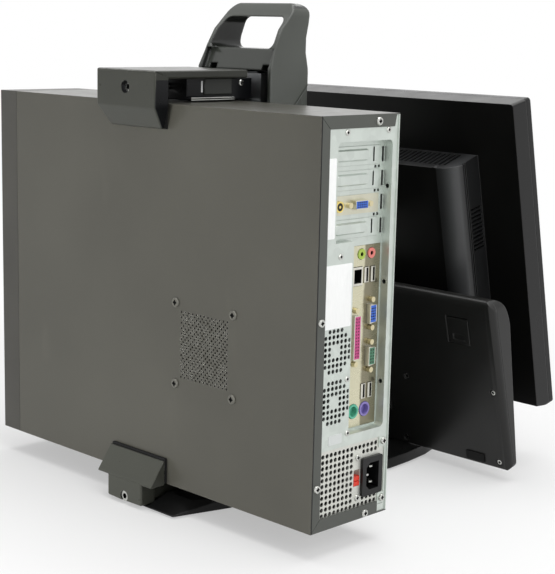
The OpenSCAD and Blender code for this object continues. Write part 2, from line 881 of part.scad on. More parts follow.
// Outline of the hump seen from above, grown inwards by a wall
function hump_outline(wall) = both_sides(concat(
    [[hump_half - wall, mon_back_y - cut]],
    arc([hump_half - hump_round_x, hump_y - hump_round_y], [hump_round_x - wall, hump_round_y - wall], 0,
        90, 8)
));

module hump_form(wall) {
    drop = hump_draft;
    intersection() {
        slab_xy(-hump_down + wall, hump_up + hump_down - 2 * wall)
            polygon(hump_outline(wall));
        slab_yz(-hump_half, 2 * hump_half)
            polygon([[mon_back_y - cut, hump_up - wall], [hump_y, hump_up - wall - drop],
                [hump_y, -hump_down + 8 + wall], [mon_back_y - cut, -hump_down + wall]]);
    }
}

// The back cover's underside rises towards the back
module under_cut(lift) {
    slab_yz(-mon_width, 2 * mon_width)
        polygon([[mon_cover_front, mon_z0 + lift], [mon_back_y + cut, mon_z0 + mon_rake + lift],
            [mon_back_y + cut, mon_z0 - 20], [mon_cover_front, mon_z0 - 20]]);
}

module monitor_back_cover() {
    side_t = mon_back_y - mon_cover_front;
    slots = floor((hump_half - 14) / hump_slot_pitch);
    color([0.07, 0.07, 0.07])
        at_tilt()
            difference() {
                union() {
                    difference() {
                        union() {
                            translate([0, 0, mon_mid])
                                slab_xz(mon_cover_front, side_t)
                                    round_rect(mon_width, mon_height, mon_corner);
                            hump_form(0);
                        }
                        under_cut(0);
                        difference() {
                            translate([0, 0, mon_mid])
                                slab_xz(mon_cover_front - cut, side_t - mon_wall + cut)
                                    round_rect(mon_width - 2 * mon_wall, mon_height - 2 * mon_wall,
                                        mon_corner - mon_wall);
                            under_cut(mon_wall);
                        }
                        hump_form(mon_wall);
                        block([-hump_half + mon_wall + 2, mon_back_y - mon_wall - cut,
                            -hump_down + mon_wall + 2],
                            [hump_half - mon_wall - 2, mon_back_y + 1, hump_up - mon_wall - 2]);
                        // Slots in the hump's top
                        for (i = [-slots:slots])
                            block([i * hump_slot_pitch - hump_slot_w / 2, mon_back_y + 4, hump_up - 12],
                                [i * hump_slot_pitch + hump_slot_w / 2, hump_y - hump_round_y + 6,
                                    hump_up + cut]);
                        // Grooves down the hump's sides and short fins in them
                        for (sx = [-1, 1])
                            block([sx * hump_half - 1.2, hump_y - hump_round_y - 4, -hump_down - cut],
                                [sx * hump_half + 1.2, hump_y - hump_round_y - 1, hump_up + cut]);
                        for (sx = [-1, 1], i = [0:fin_count - 1])
                            block([sx * hump_half - 6, mon_back_y + 3, 4 - i * fin_pitch],
                                [sx * hump_half + 6, hump_y - hump_round_y - 6, 6 - i * fin_pitch]);
                    }
                    // Bosses for the mounting screws
                    for (sx = [-1, 1], sz = [-1, 1])
                        rod_y([sx * plate_pitch / 2, hump_y - boss_len, sz * plate_pitch / 2], boss_len,
                            boss_d);
                }
                for (sx = [-1, 1], sz = [-1, 1])
                    rod_y([sx * plate_pitch / 2, hump_y - boss_len - cut, sz * plate_pitch / 2],
                        boss_len + 2 * cut,
                        plate_screw + 2 * fit);
            }
}

module monitor_front_bezel() {
    color([0.08, 0.08, 0.08])
        at_tilt()
            difference() {
                translate([0, 0, mon_mid])
                    slab_xz(mon_front_y, mon_bezel_t)
                        round_rect(mon_width, mon_height, mon_corner);
                translate([0, 0, screen_mid]) {
                    slab_xz(mon_front_y - cut, mon_bezel_t)
                        square([screen_w + 2, screen_h + 2], center = true);
                    slab_xz(panel_front, mon_bezel_t)
                        square([screen_w + 2 * panel_margin + 2 * fit, screen_h + 2 * panel_margin + 2 * fit],
                            center = true);
                }
                for (x = [menu_button_x, power_button_x])
                    translate([x, 0, mon_button_z])
                        slab_xz(mon_front_y - cut, mon_bezel_t + 2 * cut)
                            square([mon_button_w + 2 * button_gap, mon_button_h + 2 * button_gap],
                                center = true);
            }
}

module display_panel() {
    color("black")
        at_tilt()
            translate([0, 0, screen_mid])
                slab_xz(panel_front, panel_t)
                    square([screen_w + 2 * panel_margin, screen_h + 2 * panel_margin], center = true);
}

module monitor_boards() {
    standoff = 6;
    y0 = panel_front + panel_t;
    color("darkgreen")
        at_tilt()
            for (x = [-62, 62]) {
                block([x - 52, y0 + standoff, -50], [x + 52, y0 + standoff + board_t, 30]);
                block([x - 24, y0 + standoff + board_t, -30], [x + 24, y0 + standoff + 12, 0]);
                for (sx = [-1, 1], z = [-45, 25])
                    rod_y([x + sx * 46, y0, z], standoff, 6);
            }
}

module monitor_button(x) {
    at_tilt()
        difference() {
            block([x - mon_button_w / 2, mon_front_y - button_travel + 0.5, mon_button_z - mon_button_h / 2],
                [x + mon_button_w / 2, mon_front_y + mon_bezel_t, mon_button_z + mon_button_h / 2]);
            rod_y([x, mon_front_y - button_travel - 0.5, mon_button_z], 1.4, mon_button_h - 2);
        }
}

module monitor_power_button() {
    color("dimgray")
        monitor_button(power_button_x);
}

module monitor_menu_button() {
    color("dimgray")
        monitor_button(menu_button_x);
}

// Computer

module pc_chassis() {
    bay_gap = 1;
    color("gainsboro") {
        difference() {
            union() {
                block([pc_x0, pc_y0, in_z0], [front_wall_x, in_y0, in_z1]);
                block([front_wall_x, pc_y0, in_z0], [cover_x1, in_y1, in_z1]);
                // Standoffs under the motherboard
                for (x = [board_x0 + 12, board_x1 - 12],
                    z = [board_z0 + 12, (board_z0 + board_z1) / 2, board_z1 - 12])
                    rod_y([x, in_y0 - sheet / 2, z], board_y - board_t - in_y0 + sheet / 2, 7);
            }
            block([front_wall_x - cut, optical_y0 - bay_gap, optical_z0 - bay_gap],
                [cover_x1 + cut, optical_y1 + bay_gap, optical_z1 + bay_gap]);
            block([front_wall_x - cut, power_y - power_button_d / 2, power_z - power_button_d / 2],
                [cover_x1 + cut, power_y + power_button_d / 2, power_z + power_button_d / 2]);
            // Opening for the air that comes in behind the bezel
            block([front_wall_x - cut, pc_y0 + 50, pc_z0 + 40], [cover_x1 + cut, in_y1 - 12, pc_z0 + 107]);
        }
        // Shelves for the drives
        cage_shelf(optical_x0 + 10, front_wall_x - 6, optical_y0, optical_z0, optical_z1);
        cage_shelf(hard_x1 - hard_drive_l + 8, hard_x1 - 8, hard_y0, hard_z0, hard_z0 + hard_drive_h);
    }
}

board_x0 = pan_floor_x + 4;
board_depth = 220;
board_x1 = board_x0 + board_depth;
board_z0 = port_z - port_opening_h / 2 - 3;
// The board ends past its last card socket
board_edge = 6.09;
board_z1 = slot_z0 + (slot_count - 1) * slot_pitch + board_edge;

// Outline of the recessed pan in the rear panel, shrunk by a wall
module pan_outline(wall) {
    r = [pan_round - wall, pan_round - wall];
    polygon(concat(
        arc([pan_y0 + pan_round, pan_z0 + pan_round], r, 180, 270, 4),
        [[pan_low_y1 - wall, pan_z0 + wall], [pan_low_y1 - wall, pan_step_z + wall],
            [pan_y1 - wall, pan_step_z + wall]],
        arc([pan_y1 - pan_round, pan_z1 - pan_round], r, 0, 90, 4),
        arc([pan_y0 + pan_round, pan_z1 - pan_round], r, 90, 180, 4)
    ));
}

module fan_grille(y, z) {
    half = 3.5;
    for (i = [-half:half], j = [-half:half])
        if (abs(i) + abs(j) < 5.5 && abs(i) + abs(j) > 1.5)
            translate([y + i * grille_pitch, z + j * grille_pitch])
                circle(d = grille_hole, $fn = 24);
}

module rear_screw_holes(places) {
    for (p = places)
        translate(p)
            circle(d = rear_screw_d + 2 * fit);
}

module pc_rear_panel() {
    color("gainsboro")
        difference() {
            union() {
                slab_yz(pc_x0 + sheet, sheet)
                    difference() {
                        polygon([[in_y0, in_z0], [in_y1, in_z0], [in_y1, in_z1], [in_y0, in_z1]]);
                        pan_outline(sheet);
                        for (z = rear_fan_z)
                            fan_grille(rear_fan_y, z);
                        translate([psu_y0 + 1.5, psu_z0 + 1.5])
                            square([psu_width - 3, psu_height - 3]);
                        rear_screw_holes(cover_screw_at);
                    }
                slab_yz(pc_x0 + sheet, pan_depth)
                    difference() {
                        pan_outline(0);
                        pan_outline(sheet);
                    }
                slab_yz(pan_floor_x, sheet)
                    difference() {
                        pan_outline(0);
                        for (i = [0:slot_count - 1])
                            translate([slot_y0, slot_z0 + i * slot_pitch - slot_open / 2])
                                square([slot_y1 - slot_y0, slot_open]);
                        translate([port_y0, port_z - port_opening_h / 2])
                            square([port_opening_w, port_opening_h]);
                        for (i = [0:slot_count - 2], y = [slot_y0 - 2.4, slot_y0 + 2.1])
                            translate([y, slot_z0 + (i + 0.5) * slot_pitch])
                                square(2.4, center = true);
                        for (i = [0:slot_count - 1])
                            translate([pan_y0 + 1.6, slot_z0 + i * slot_pitch - 6.5])
                                square([2.6, 13]);
                    }
                // Corner tabs that hold the power supply's screws
                for (p = psu_screw_at)
                    slab_yz(pc_x0 + sheet, sheet)
                        difference() {
                            translate([psu_y0, p[1] - 5])
                                square([9, 10]);
                            translate(p)
                                circle(d = rear_screw_d + 2 * fit);
                        }
            }
            for (z = pan_wall_holes)
                rod_y([pc_x0 + sheet + pan_depth / 2, pan_y0 - cut, z], sheet + 2 * cut, 4);
        }
}

module pc_cover() {
    top_trim = 4;
    mitre = 0.5;
    rows = floor(vent_side / (vent_pitch / 2));
    color([0.36, 0.36, 0.34]) {
        difference() {
            union() {
                slab_xz(in_y1, sheet)
                    difference() {
                        translate([pc_x0, pc_z0])
                            square([cover_x1 - pc_x0, pc_height]);
                        for (i = [0:rows], j = [0:rows])
                            if ((i + j) % 2 == 0)
                                translate([vent_x + (i - rows / 2) * vent_pitch / 2,
                                    vent_z + (j - rows / 2) * vent_pitch / 2])
                                    circle(d = vent_hole, $fn = 16);
                        for (sx = [-1, 1], sz = [-1, 1])
                            translate([vent_x + sx * vent_screw_span / 2, vent_z + sz * vent_screw_span / 2])
                                circle(d = vent_screw_d + 2 * fit);
                    }
                block([pc_x0, pc_y0, in_z1], [cover_x1, in_y1, pc_z1]);
                block([pc_x0, pc_y0, pc_z0], [cover_x1, in_y1, in_z0]);
                slab_yz(pc_x0, sheet)
                    difference() {
                        union() {
                            polygon([[pc_y0 + top_trim, in_z1], [pc_y0 + top_trim + 2, in_z1 - cover_flange],
                                [in_y1 - cover_flange - mitre, in_z1 - cover_flange],
                                    [in_y1 - mitre, in_z1]]);
                            polygon([[in_y1, in_z1], [in_y1 - cover_flange, in_z1 - cover_flange],
                                [in_y1 - cover_flange, in_z0 + cover_flange], [in_y1, in_z0]]);
                            polygon([[pc_y0 + 3 * top_trim, in_z0],
                                [pc_y0 + 3 * top_trim, in_z0 + cover_flange],
                                [in_y1 - cover_flange - mitre, in_z0 + cover_flange],
                                    [in_y1 - mitre, in_z0]]);
                        }
                        rear_screw_holes(cover_screw_at);
                    }
            }
        }
    }
}

module pc_front_bezel() {
    bay_gap = 0.5;
    color([0.2, 0.2, 0.2])
        difference() {
            block([cover_x1, pc_y0, pc_z0], [pc_x1, pc_y1, pc_z1]);
            block([cover_x1 - cut, pc_y0 + bezel_wall, pc_z0 + bezel_wall],
                [pc_x1 - bezel_wall, pc_y1 - bezel_wall, pc_z1 - bezel_wall]);
            block([pc_x1 - bezel_wall - cut, optical_y0 - bay_gap, optical_z0 - bay_gap],
                [pc_x1 + cut, optical_y1 + bay_gap, optical_z1 + bay_gap]);
            rod_x([pc_x1 - bezel_wall - cut, power_y, power_z], bezel_wall + 2 * cut,
                power_button_d + 2 * button_gap);
            for (i = [0:7])
                block([pc_x1 - bezel_wall - cut, pc_y0 + 50, pc_z0 + 40 + i * 9],
                    [pc_x1 + cut, pc_y1 - 13, pc_z0 + 44 + i * 9]);
        }
}

module rear_screw(p, x) {
    difference() {
        union() {
            rod_x([x - 2, p[0], p[1]], 2, rear_screw_head);
            rod_x([x - 1, p[0], p[1]], 7, rear_screw_d);
        }
        rod_x([x - 3, p[0], p[1]], 2, rear_screw_head / 2);
    }
}

module pc_screws() {
    color("silver") {
        for (p = cover_screw_at)
            rear_screw(p, pc_x0);
        for (p = psu_screw_at)
            rear_screw(p, pc_x0 + sheet);
        for (sx = [-1, 1], sz = [-1, 1])
            translate([vent_x + sx * vent_screw_span / 2, 0, vent_z + sz * vent_screw_span / 2])
                vent_screw();
    }
}

module vent_screw() {
    difference() {
        union() {
            rod_y([0, pc_y1, 0], 1.8, vent_screw_head);
            rod_y([0, pc_y1 - 9, 0], 10, vent_screw_d);
        }
        block([-2.6, pc_y1 + 0.9, -0.5], [2.6, pc_y1 + 3, 0.5]);
        block([-0.5, pc_y1 + 0.9, -2.6], [0.5, pc_y1 + 3, 2.6]);
    }
}

module slot_covers() {
    emboss = 1.2;
    color("gainsboro")
        for (i = [0:slot_count - 1])
            if (i != card_slot)
                translate([0, 0, slot_z0 + i * slot_pitch]) {
                    difference() {
                        block([pan_floor_x - sheet, slot_y0 - 2, -slot_open / 2 - 2],
                            [pan_floor_x, slot_y1 + 1, slot_open / 2 + 2]);
                        block([pan_floor_x - sheet - cut, slot_y0 + 4.4, -slot_open / 2 + 0.4],
                            [pan_floor_x + cut, slot_y0 + 5.9, slot_open / 2 + 1]);
                    }
                    block([pan_floor_x - sheet - emboss, slot_y0 + 16, -slot_open / 2 + 1],
                        [pan_floor_x - sheet, slot_y1 - 2, slot_open / 2 - 1]);
                }
}

module expansion_card() {
    z = slot_z0 + card_slot * slot_pitch;
    card_port_y = slot_y0 + 24;
    color("goldenrod") {
        block([pan_floor_x - sheet, slot_y0 - 2, z - slot_open / 2 - 2],
            [pan_floor_x, slot_y1 + 1, z + slot_open / 2 + 2]);
        block([pan_floor_x, slot_y0 + 4, z - board_t / 2], [pan_floor_x + 120, slot_y1 - 4, z + board_t / 2]);
        block([pan_floor_x + 18, board_face + 8.8, z - board_t / 2],
            [pan_floor_x + 100, slot_y0 + 4.5, z + board_t / 2]);
        block([pan_floor_x + 40, slot_y0 + 20, z + board_t / 2],
            [pan_floor_x + 66, slot_y0 + 46, z + board_t / 2 + 5]);
        // Fifteen-way connector and a round threaded one
        slab_yz(pan_floor_x - sheet - 5, 5)
            translate([card_port_y, z])
                polygon([[-8.3, 3.8], [8.3, 3.8], [7, -3.8], [-7, -3.8]]);
        for (s = [-1, 1])
            rod_x([pan_floor_x - sheet - 4, card_port_y + s * 12.8, z], 4, 4.8);
        rod_x([pan_floor_x - sheet - 5.5, slot_y1 - 4.8, z], 5.5, 9.5);
    }
}

// Ports as [y above the board, z from the port opening's middle]
usb_w = 13.2;
usb_h = 5.4;
// Ports stand just proud of the shield, and the shells of the D-shaped ones further
port_x0 = pan_floor_x - 0.8;
d_front = pan_floor_x - 4.5;
shield_t = 0.6;
port_x1 = board_x0 + 12;
socket_x1 = port_x0 + 10;
d_wide = 8.6;
jack_screw_d = 4.8;
usb_low = [[8.3, 53.4], [16.7, 53.4], [7.6, -48.8], [16.2, -48.8]];
network_at = [28.3, 52.9];
d_small_at = [[10.2, 19.3], [10.2, -17.9]];
d_large_at = [30, 0.6];
din_at = [[13.4, -65.1], [28.1, -65.1]];
jack_at = [[10.7, 71.7], [23.3, 71.7]];

module d_outline(len, h) {
    polygon([[-h / 2, len / 2 - 1.2], [h / 2, len / 2], [h / 2, -len / 2], [-h / 2, -len / 2 + 1.2]]);
}

module port_shield() {
    gap = 0.4;
    color("tan")
        slab_yz(pan_floor_x, shield_t)
            difference() {
                translate([port_y0 + fit, port_z - port_opening_h / 2 + fit])
                    square([port_opening_w - 2 * fit, port_opening_h - 2 * fit]);
                translate([board_face, port_z]) {
                    for (p = usb_low)
                        translate(p)
                            square([usb_h + 2 * gap, usb_w + 2 * gap], center = true);
                    translate(network_at)
                        square([13.4 + 2 * gap, 16 + 2 * gap], center = true);
                    for (p = [[d_small_at[0], 31, 17], [d_small_at[1], 31, 17], [d_large_at, 53, 39]])
                        translate(p[0]) {
                            d_outline(p[2] + 2 * gap, d_wide + 2 * gap);
                            for (s = [-1, 1])
                                translate([0, s * (p[1] / 2 - 3.2)])
                                    circle(d = jack_screw_d + 2 * gap);
                        }
                    for (p = din_at)
                        translate(p)
                            circle(d = 12.6 + 2 * gap);
                    for (p = jack_at)
                        translate(p)
                            circle(d = 9 + 2 * gap);
                }
            }
}

module motherboard() {
    color("darkgreen") {
        block([board_x0, board_y - board_t, board_z0], [board_x1, board_y, board_z1]);
        // Processor socket, card sockets and memory in its sockets
        block([vent_x - 19, board_y - 0.1, vent_z - 19], [vent_x + 19, board_y + cpu_base, vent_z + 19]);
        for (i = [0:slot_count - 1])
            translate([0, 0, slot_z0 + i * slot_pitch])
                block([board_x0 + 14, board_y - 0.1, -4], [board_x0 + 100, board_y + 8.8, 4]);
        for (i = [0, 1])
            block([board_x1 - 40 + i * 12, board_y - 0.1, board_z0 + 30],
                [board_x1 - 36 + i * 12, board_y + 31, board_z0 + 163]);
    }
}

module d_port(at, len, shell, pin_rows, pins) {
    translate([0, board_face + at[0], port_z + at[1]]) {
        difference() {
            union() {
                slab_yz(pan_floor_x + shield_t, port_x1 - pan_floor_x - shield_t)
                    square([12.5, len], center = true);
                slab_yz(d_front, 6)
                    d_outline(shell, d_wide);
            }
            for (r = [0:pin_rows - 1], i = [0:pins - 1])
                rod_x([d_front - cut, (r - (pin_rows - 1) / 2) * 2.4,
                    (i - (pins - 1) / 2) * (shell - 5) / pins], 4, 1.1);
        }
        for (s = [-1, 1])
            rod_x([d_front + 0.5, 0, s * (len / 2 - 3.2)], 5, jack_screw_d);
    }
}

module d_shaped_ports() {
    color("steelblue") {
        d_port(d_small_at[0], 31, 17, 3, 5);
        d_port(d_small_at[1], 31, 17, 2, 5);
        d_port(d_large_at, 53, 39, 2, 13);
        // Seat of the stacked connectors on the board
        for (p = d_small_at)
            translate([0, 0, port_z + p[1]])
                block([board_x0, board_face, -14], [port_x1, board_face + p[0], 14]);
        block([board_x0 + 2, board_face + d_small_at[0][0] + 5, port_z - 24],
            [port_x1, board_face + d_large_at[0] - 5, port_z + 22]);
    }
}

module usb_network_ports() {
    color("dimgray") {
        for (p = usb_low)
            translate([0, board_face + p[0], port_z + p[1]])
                difference() {
                    block([port_x0, -usb_h / 2, -usb_w / 2], [port_x1, usb_h / 2, usb_w / 2]);
                    block([port_x0 - cut, -usb_h / 2 + 0.6, -usb_w / 2 + 0.6],
                        [port_x0 + 8, 0.3, usb_w / 2 - 0.6]);
                }
        translate([0, board_face + network_at[0], port_z + network_at[1]])
            difference() {
                block([port_x0, -6.7, -8], [port_x1, 6.7, 8]);
                block([port_x0 - cut, -5.2, -6], [port_x0 + 9, 4, 6]);
            }
        for (p = [usb_low[1], usb_low[3]])
            block([socket_x1, board_face, port_z + p[1] - usb_w / 2],
                [port_x1, board_face + p[0] + 1, port_z + p[1] + usb_w / 2]);
        block([socket_x1, board_face + usb_low[1][0], port_z + 48],
            [port_x1, board_face + network_at[0], port_z + 58]);
    }
}

module round_ports() {
    color("mediumpurple") {
        for (p = din_at)
            translate([0, board_face + p[0], port_z + p[1]])
                difference() {
                    rod_x([port_x0, 0, 0], port_x1 - port_x0, 12.6);
                    rod_x([port_x0 - cut, 0, 0], 5 + cut, 9);
                }
        for (p = jack_at)
            translate([0, board_face + p[0], port_z + p[1]])
                difference() {
                    rod_x([port_x0, 0, 0], port_x1 - port_x0, 9);
                    rod_x([port_x0 - cut, 0, 0], 8, 3.6);
                }
        block([board_x0, board_face, port_z + din_at[0][1] - 7],
            [port_x1, board_face + din_at[1][0] + 6, port_z + din_at[0][1] + 7]);
        block([board_x0, board_face, port_z + jack_at[0][1] - 5.5],
            [port_x1, board_face + jack_at[1][0] + 5.5, port_z + jack_at[0][1] + 6]);
    }
}

module psu_case() {
    color("whitesmoke") {
        slab_yz(psu_x0, psu_wall)
            difference() {
                translate([psu_y0, psu_z0])
                    square([psu_width, psu_height]);
                for (i = [0:psu_cols - 1], j = [0:psu_rows - 1])
                    translate([psu_grid_y - i * psu_pitch, psu_grid_z + j * psu_pitch])
                        circle(d = psu_hole, $fn = 24);
                // The rows above and below the inlet
                for (i = [psu_cols:psu_cols + 5], j = [0, psu_rows - 1])
                    translate([psu_grid_y - i * psu_pitch, psu_grid_z + j * psu_pitch])
                        circle(d = psu_hole, $fn = 24);
                for (i = [psu_cols + 2:psu_cols + 5], j = [1, psu_rows - 2])
                    translate([psu_grid_y - i * psu_pitch, psu_grid_z + j * psu_pitch])
                        circle(d = psu_hole, $fn = 24);
                translate([inlet_y, inlet_z])
                    square([inlet_w - 2 + 2 * fit, inlet_h - 2 + 2 * fit], center = true);
                translate([selector_y, selector_z])
                    square([selector_w + 2 * button_gap, selector_h + 2 * button_gap], center = true);
                rear_screw_holes(psu_screw_at);
            }
        difference() {
            block([psu_x0 + psu_wall / 2, psu_y0, psu_z0], [psu_x0 + psu_length, psu_y1, psu_z1]);
            block([psu_x0 - cut, psu_y0 + psu_wall, psu_z0 + psu_wall],
                [psu_x0 + psu_length - psu_wall, psu_y1 - psu_wall, psu_z1 - psu_wall]);
            rod_x([psu_x0 + psu_length - 5, psu_y0 + 20, psu_z0 + 20], 10, 16);
        }
        // Channel that the selector slides in
        difference() {
            block([psu_x0 + psu_wall / 2, selector_y - selector_w / 2 - 1.2, selector_z - selector_h / 2 - 2],
                [psu_x0 + 8, selector_y + selector_w / 2 + 1.2, selector_z + selector_h / 2 + 2]);
            block([psu_x0 - cut, selector_y - selector_w / 2 - button_gap,
                selector_z - selector_h / 2 - button_gap],
                [psu_x0 + 6, selector_y + selector_w / 2 + button_gap,
                    selector_z + selector_h / 2 + button_gap]);
        }
    }
}

module psu_inlet() {
    pin_l = 9;
    color([0.15, 0.15, 0.16])
        translate([0, inlet_y, inlet_z]) {
            difference() {
                union() {
                    slab_yz(psu_x0 - 3, 3)
                        round_rect(inlet_w, inlet_h, 2);
                    slab_yz(psu_x0 - 1, 20)
                        square([inlet_w - 2, inlet_h - 2], center = true);
                }
                slab_yz(psu_x0 - 4, 18)
                    polygon([[-inlet_socket_w / 2, -inlet_socket_h / 2],
                        [inlet_socket_w / 2 - 4, -inlet_socket_h / 2],
                        [inlet_socket_w / 2, -inlet_socket_h / 2 + 4],
                            [inlet_socket_w / 2, inlet_socket_h / 2 - 4],
                        [inlet_socket_w / 2 - 4, inlet_socket_h / 2],
                            [-inlet_socket_w / 2, inlet_socket_h / 2]]);
            }
            for (p = [[-2.5, -7], [-2.5, 7], [2.5, 0]])
                block([psu_x0 + 14 - pin_l, p[0] - 2, p[1] - 1], [psu_x0 + 15, p[0] + 2, p[1] + 1]);
        }
}

module voltage_selector() {
    half = (selector_h - selector_travel) / 2;
    low = selector_z - selector_h / 2;
    color("red")
        difference() {
            block([psu_x0 - 0.2, selector_y - selector_w / 2, low],
                [psu_x0 + 5.7, selector_y + selector_w / 2, low + 2 * half]);
            block([psu_x0 - cut, selector_y - selector_w, low + half - 0.6],
                [psu_x0 + 1, selector_y + selector_w, low + half + 0.6]);
        }
}

// A square fan frame and its rotor, with the air running along +z from the frame's back
hub_part = 0.42;
strut_t = 2.5;

module fan_frame(side, t) {
    bore = side - 3;
    hub = hub_part * side;
    difference() {
        slab_xy(0, t)
            round_rect(side, side, 3);
        translate([0, 0, -cut])
            cylinder(h = t + 2 * cut, d = bore);
    }
    difference() {
        union() {
            cylinder(h = strut_t, d = hub);
            for (a = [45:90:315])
                rotate([0, 0, a])
                    translate([0, -1.5, 0])
                        cube([side / 2 + 1, 3, strut_t]);
            cylinder(h = t - 4, d = fan_shaft + 5);
        }
        translate([0, 0, 1])
            cylinder(h = t, d = fan_shaft + 2 * run_gap);
    }
}

module fan_rotor(side, t) {
    hub = hub_part * side;
    tip = side / 2 - 2.6;
    blades = 7;
    z0 = strut_t + 0.8;
    z1 = t - 0.8;
    difference() {
        translate([0, 0, z0])
            cylinder(h = z1 - z0, d = hub);
        translate([0, 0, z0 - cut])
            cylinder(h = z1 - z0 - 1.5 + cut, d = hub - 3);
    }
    translate([0, 0, 1.3])
        cylinder(h = z1 - 1.8, d = fan_shaft);
    for (a = [0:360 / blades:359])
        rotate([0, 0, a])
            difference() {
                intersection() {
                    translate([0, 0, (z0 + z1) / 2])
                        rotate([38, 0, 0])
                            translate([0, -side, -0.6])
                                cube([side, 2 * side, 1.2]);
                    translate([0, 0, z0])
                        cylinder(h = z1 - z0, r = tip);
                    linear_extrude(t)
                        polygon([[0, 0], [side * cos(22), -side * sin(22)],
                            [side * cos(22), side * sin(22)]]);
                }
                translate([0, 0, -side])
                    cylinder(h = 3 * side, d = hub - 1.5);
            }
}

module at_rear_fan(i) {
    translate([in_x0, rear_fan_y, rear_fan_z[i]])
        rotate([0, 90, 0])
            children();
}

module at_psu_fan() {
    translate([psu_x0 + psu_fan_in, psu_fan_y, psu_fan_z])
        rotate([0, 90, 0])
            children();
}

module at_cpu_fan() {
    translate([vent_x, heatsink_y1, vent_z])
        rotate([-90, 0, 0])
            children();
}

module fan_frames() {
    color([0.12, 0.12, 0.12]) {
        for (i = [0, 1])
            at_rear_fan(i)
                fan_frame(rear_fan, rear_fan_t);
        at_psu_fan()
            fan_frame(psu_fan_side, fan_t);
        at_cpu_fan()
            fan_frame(cpu_fan_side, fan_t);
    }
}

module upper_rear_fan() {
    color([0.15, 0.15, 0.15])
        at_rear_fan(0)
            fan_rotor(rear_fan, rear_fan_t);
}

module lower_rear_fan() {
    color([0.15, 0.15, 0.15])
        at_rear_fan(1)
            fan_rotor(rear_fan, rear_fan_t);
}

module psu_fan() {
    color([0.15, 0.15, 0.15])
        at_psu_fan()
            fan_rotor(psu_fan_side, fan_t);
}

module cpu_fan() {
    color([0.15, 0.15, 0.15])
        at_cpu_fan()
            fan_rotor(cpu_fan_side, fan_t);
}

module cpu_heatsink() {
    half = cpu_fan_side / 2 - 1;
    fin_t = 1.2;
    fins = 12;
    y0 = board_face + cpu_base;
    color("silver") {
        block([vent_x - half, y0, vent_z - half], [vent_x + half, y0 + 7, vent_z + half]);
        for (i = [0:fins - 1])
            translate([vent_x - half + i * (2 * half - fin_t) / (fins - 1), 0, 0])
                block([0, y0 + 6, vent_z - half], [fin_t, heatsink_y1, vent_z + half]);
    }
}

module air_duct() {
    color([0.15, 0.15, 0.15])
        difference() {
            union() {
                rod_y([vent_x, duct_y0, vent_z], in_y1 - duct_y0, duct_d);
                translate([vent_x, 0, vent_z])
                    slab_xz(in_y1 - 3, 3)
                        round_rect(duct_flange, duct_flange, 5);
                for (sx = [-1, 1], sz = [-1, 1])
                    rod_y([vent_x + sx * vent_screw_span / 2, in_y1 - 10,
                        vent_z + sz * vent_screw_span / 2], 10,
                        vent_screw_d + 4);
            }
            rod_y([vent_x, duct_y0 - cut, vent_z], pc_width, duct_d - 2 * duct_wall);
            for (sx = [-1, 1], sz = [-1, 1])
                rod_y([vent_x + sx * vent_screw_span / 2, in_y1 - 11, vent_z + sz * vent_screw_span / 2], 20,
                    vent_screw_d + 2 * fit);
        }
}

module cage_shelf(x0, x1, y, z0, z1) {
    block([x0, y - cage_t, z0], [x1, y, z1]);
    for (z = [z0, z1 - cage_t])
        block([x0, in_y0 - sheet / 2, z], [x1, y - cage_t / 2, z + cage_t]);
}

module hard_drive() {
    x0 = hard_x1 - hard_drive_l;
    color("lightgray")
        difference() {
            block([x0, hard_y0, hard_z0], [hard_x1, hard_y0 + hard_drive_t, hard_z0 + hard_drive_h]);
            translate([x0 + 52, hard_y0 + hard_drive_t, hard_z0 + hard_drive_h / 2])
                rotate([90, 0, 0])
                    cylinder(h = 1.5, d = 88, center = true);
        }
}

module optical_drive() {
    slot = 0.6;
    tray_z0 = optical_z0 + tray_side;
    tray_z1 = optical_z1 - tray_side;
    color("lightgray")
        difference() {
            block([optical_x0, optical_y0, optical_z0], [pc_x1, optical_y1, optical_z1]);
            block([optical_x0 + drive_wall, optical_y0 + drive_wall, optical_z0 + drive_wall],
                [pc_x1 - tray_face, tray_y - 3, optical_z1 - drive_wall]);
            block([pc_x1 - tray_l - 4, tray_y - slot, tray_z0 - slot],
                [pc_x1 + cut, tray_y + tray_t + slot, tray_z1 + slot]);
            block([pc_x1 - tray_face, tray_y - 3 - slot, tray_z0 - 2 - slot],
                [pc_x1 + cut, tray_y + tray_t + 3 + slot, tray_z1 + 2 + slot]);
            block([pc_x1 - tray_face - cut, eject_y - eject_h / 2 - button_gap,
                eject_z - eject_w / 2 - button_gap],
                [pc_x1 + cut, eject_y + eject_h / 2 + button_gap, eject_z + eject_w / 2 + button_gap]);
        }
}

module disc_tray() {
    tray_z0 = optical_z0 + tray_side;
    tray_z1 = optical_z1 - tray_side;
    mid_z = (tray_z0 + tray_z1) / 2;
    color([0.25, 0.25, 0.25])
        difference() {
            union() {
                block([pc_x1 - tray_l, tray_y, tray_z0], [pc_x1, tray_y + tray_t, tray_z1]);
                block([pc_x1 - tray_face + 0.5, tray_y - 3, tray_z0 - 2],
                    [pc_x1 + 0.8, tray_y + tray_t + 3, tray_z1 + 2]);
            }
            rod_y([pc_x1 - 72, tray_y + tray_t - 2, mid_z], 5, 121);
            rod_y([pc_x1 - 72, tray_y - cut, mid_z], 20, 36);
        }
}

module eject_button() {
    color([0.25, 0.25, 0.25])
        difference() {
            block([pc_x1 - tray_face, eject_y - eject_h / 2, eject_z - eject_w / 2],
                [pc_x1 + button_travel - 0.5, eject_y + eject_h / 2, eject_z + eject_w / 2]);
            rod_x([pc_x1 + button_travel - 0.9, eject_y, eject_z], 2, 2);
        }
}

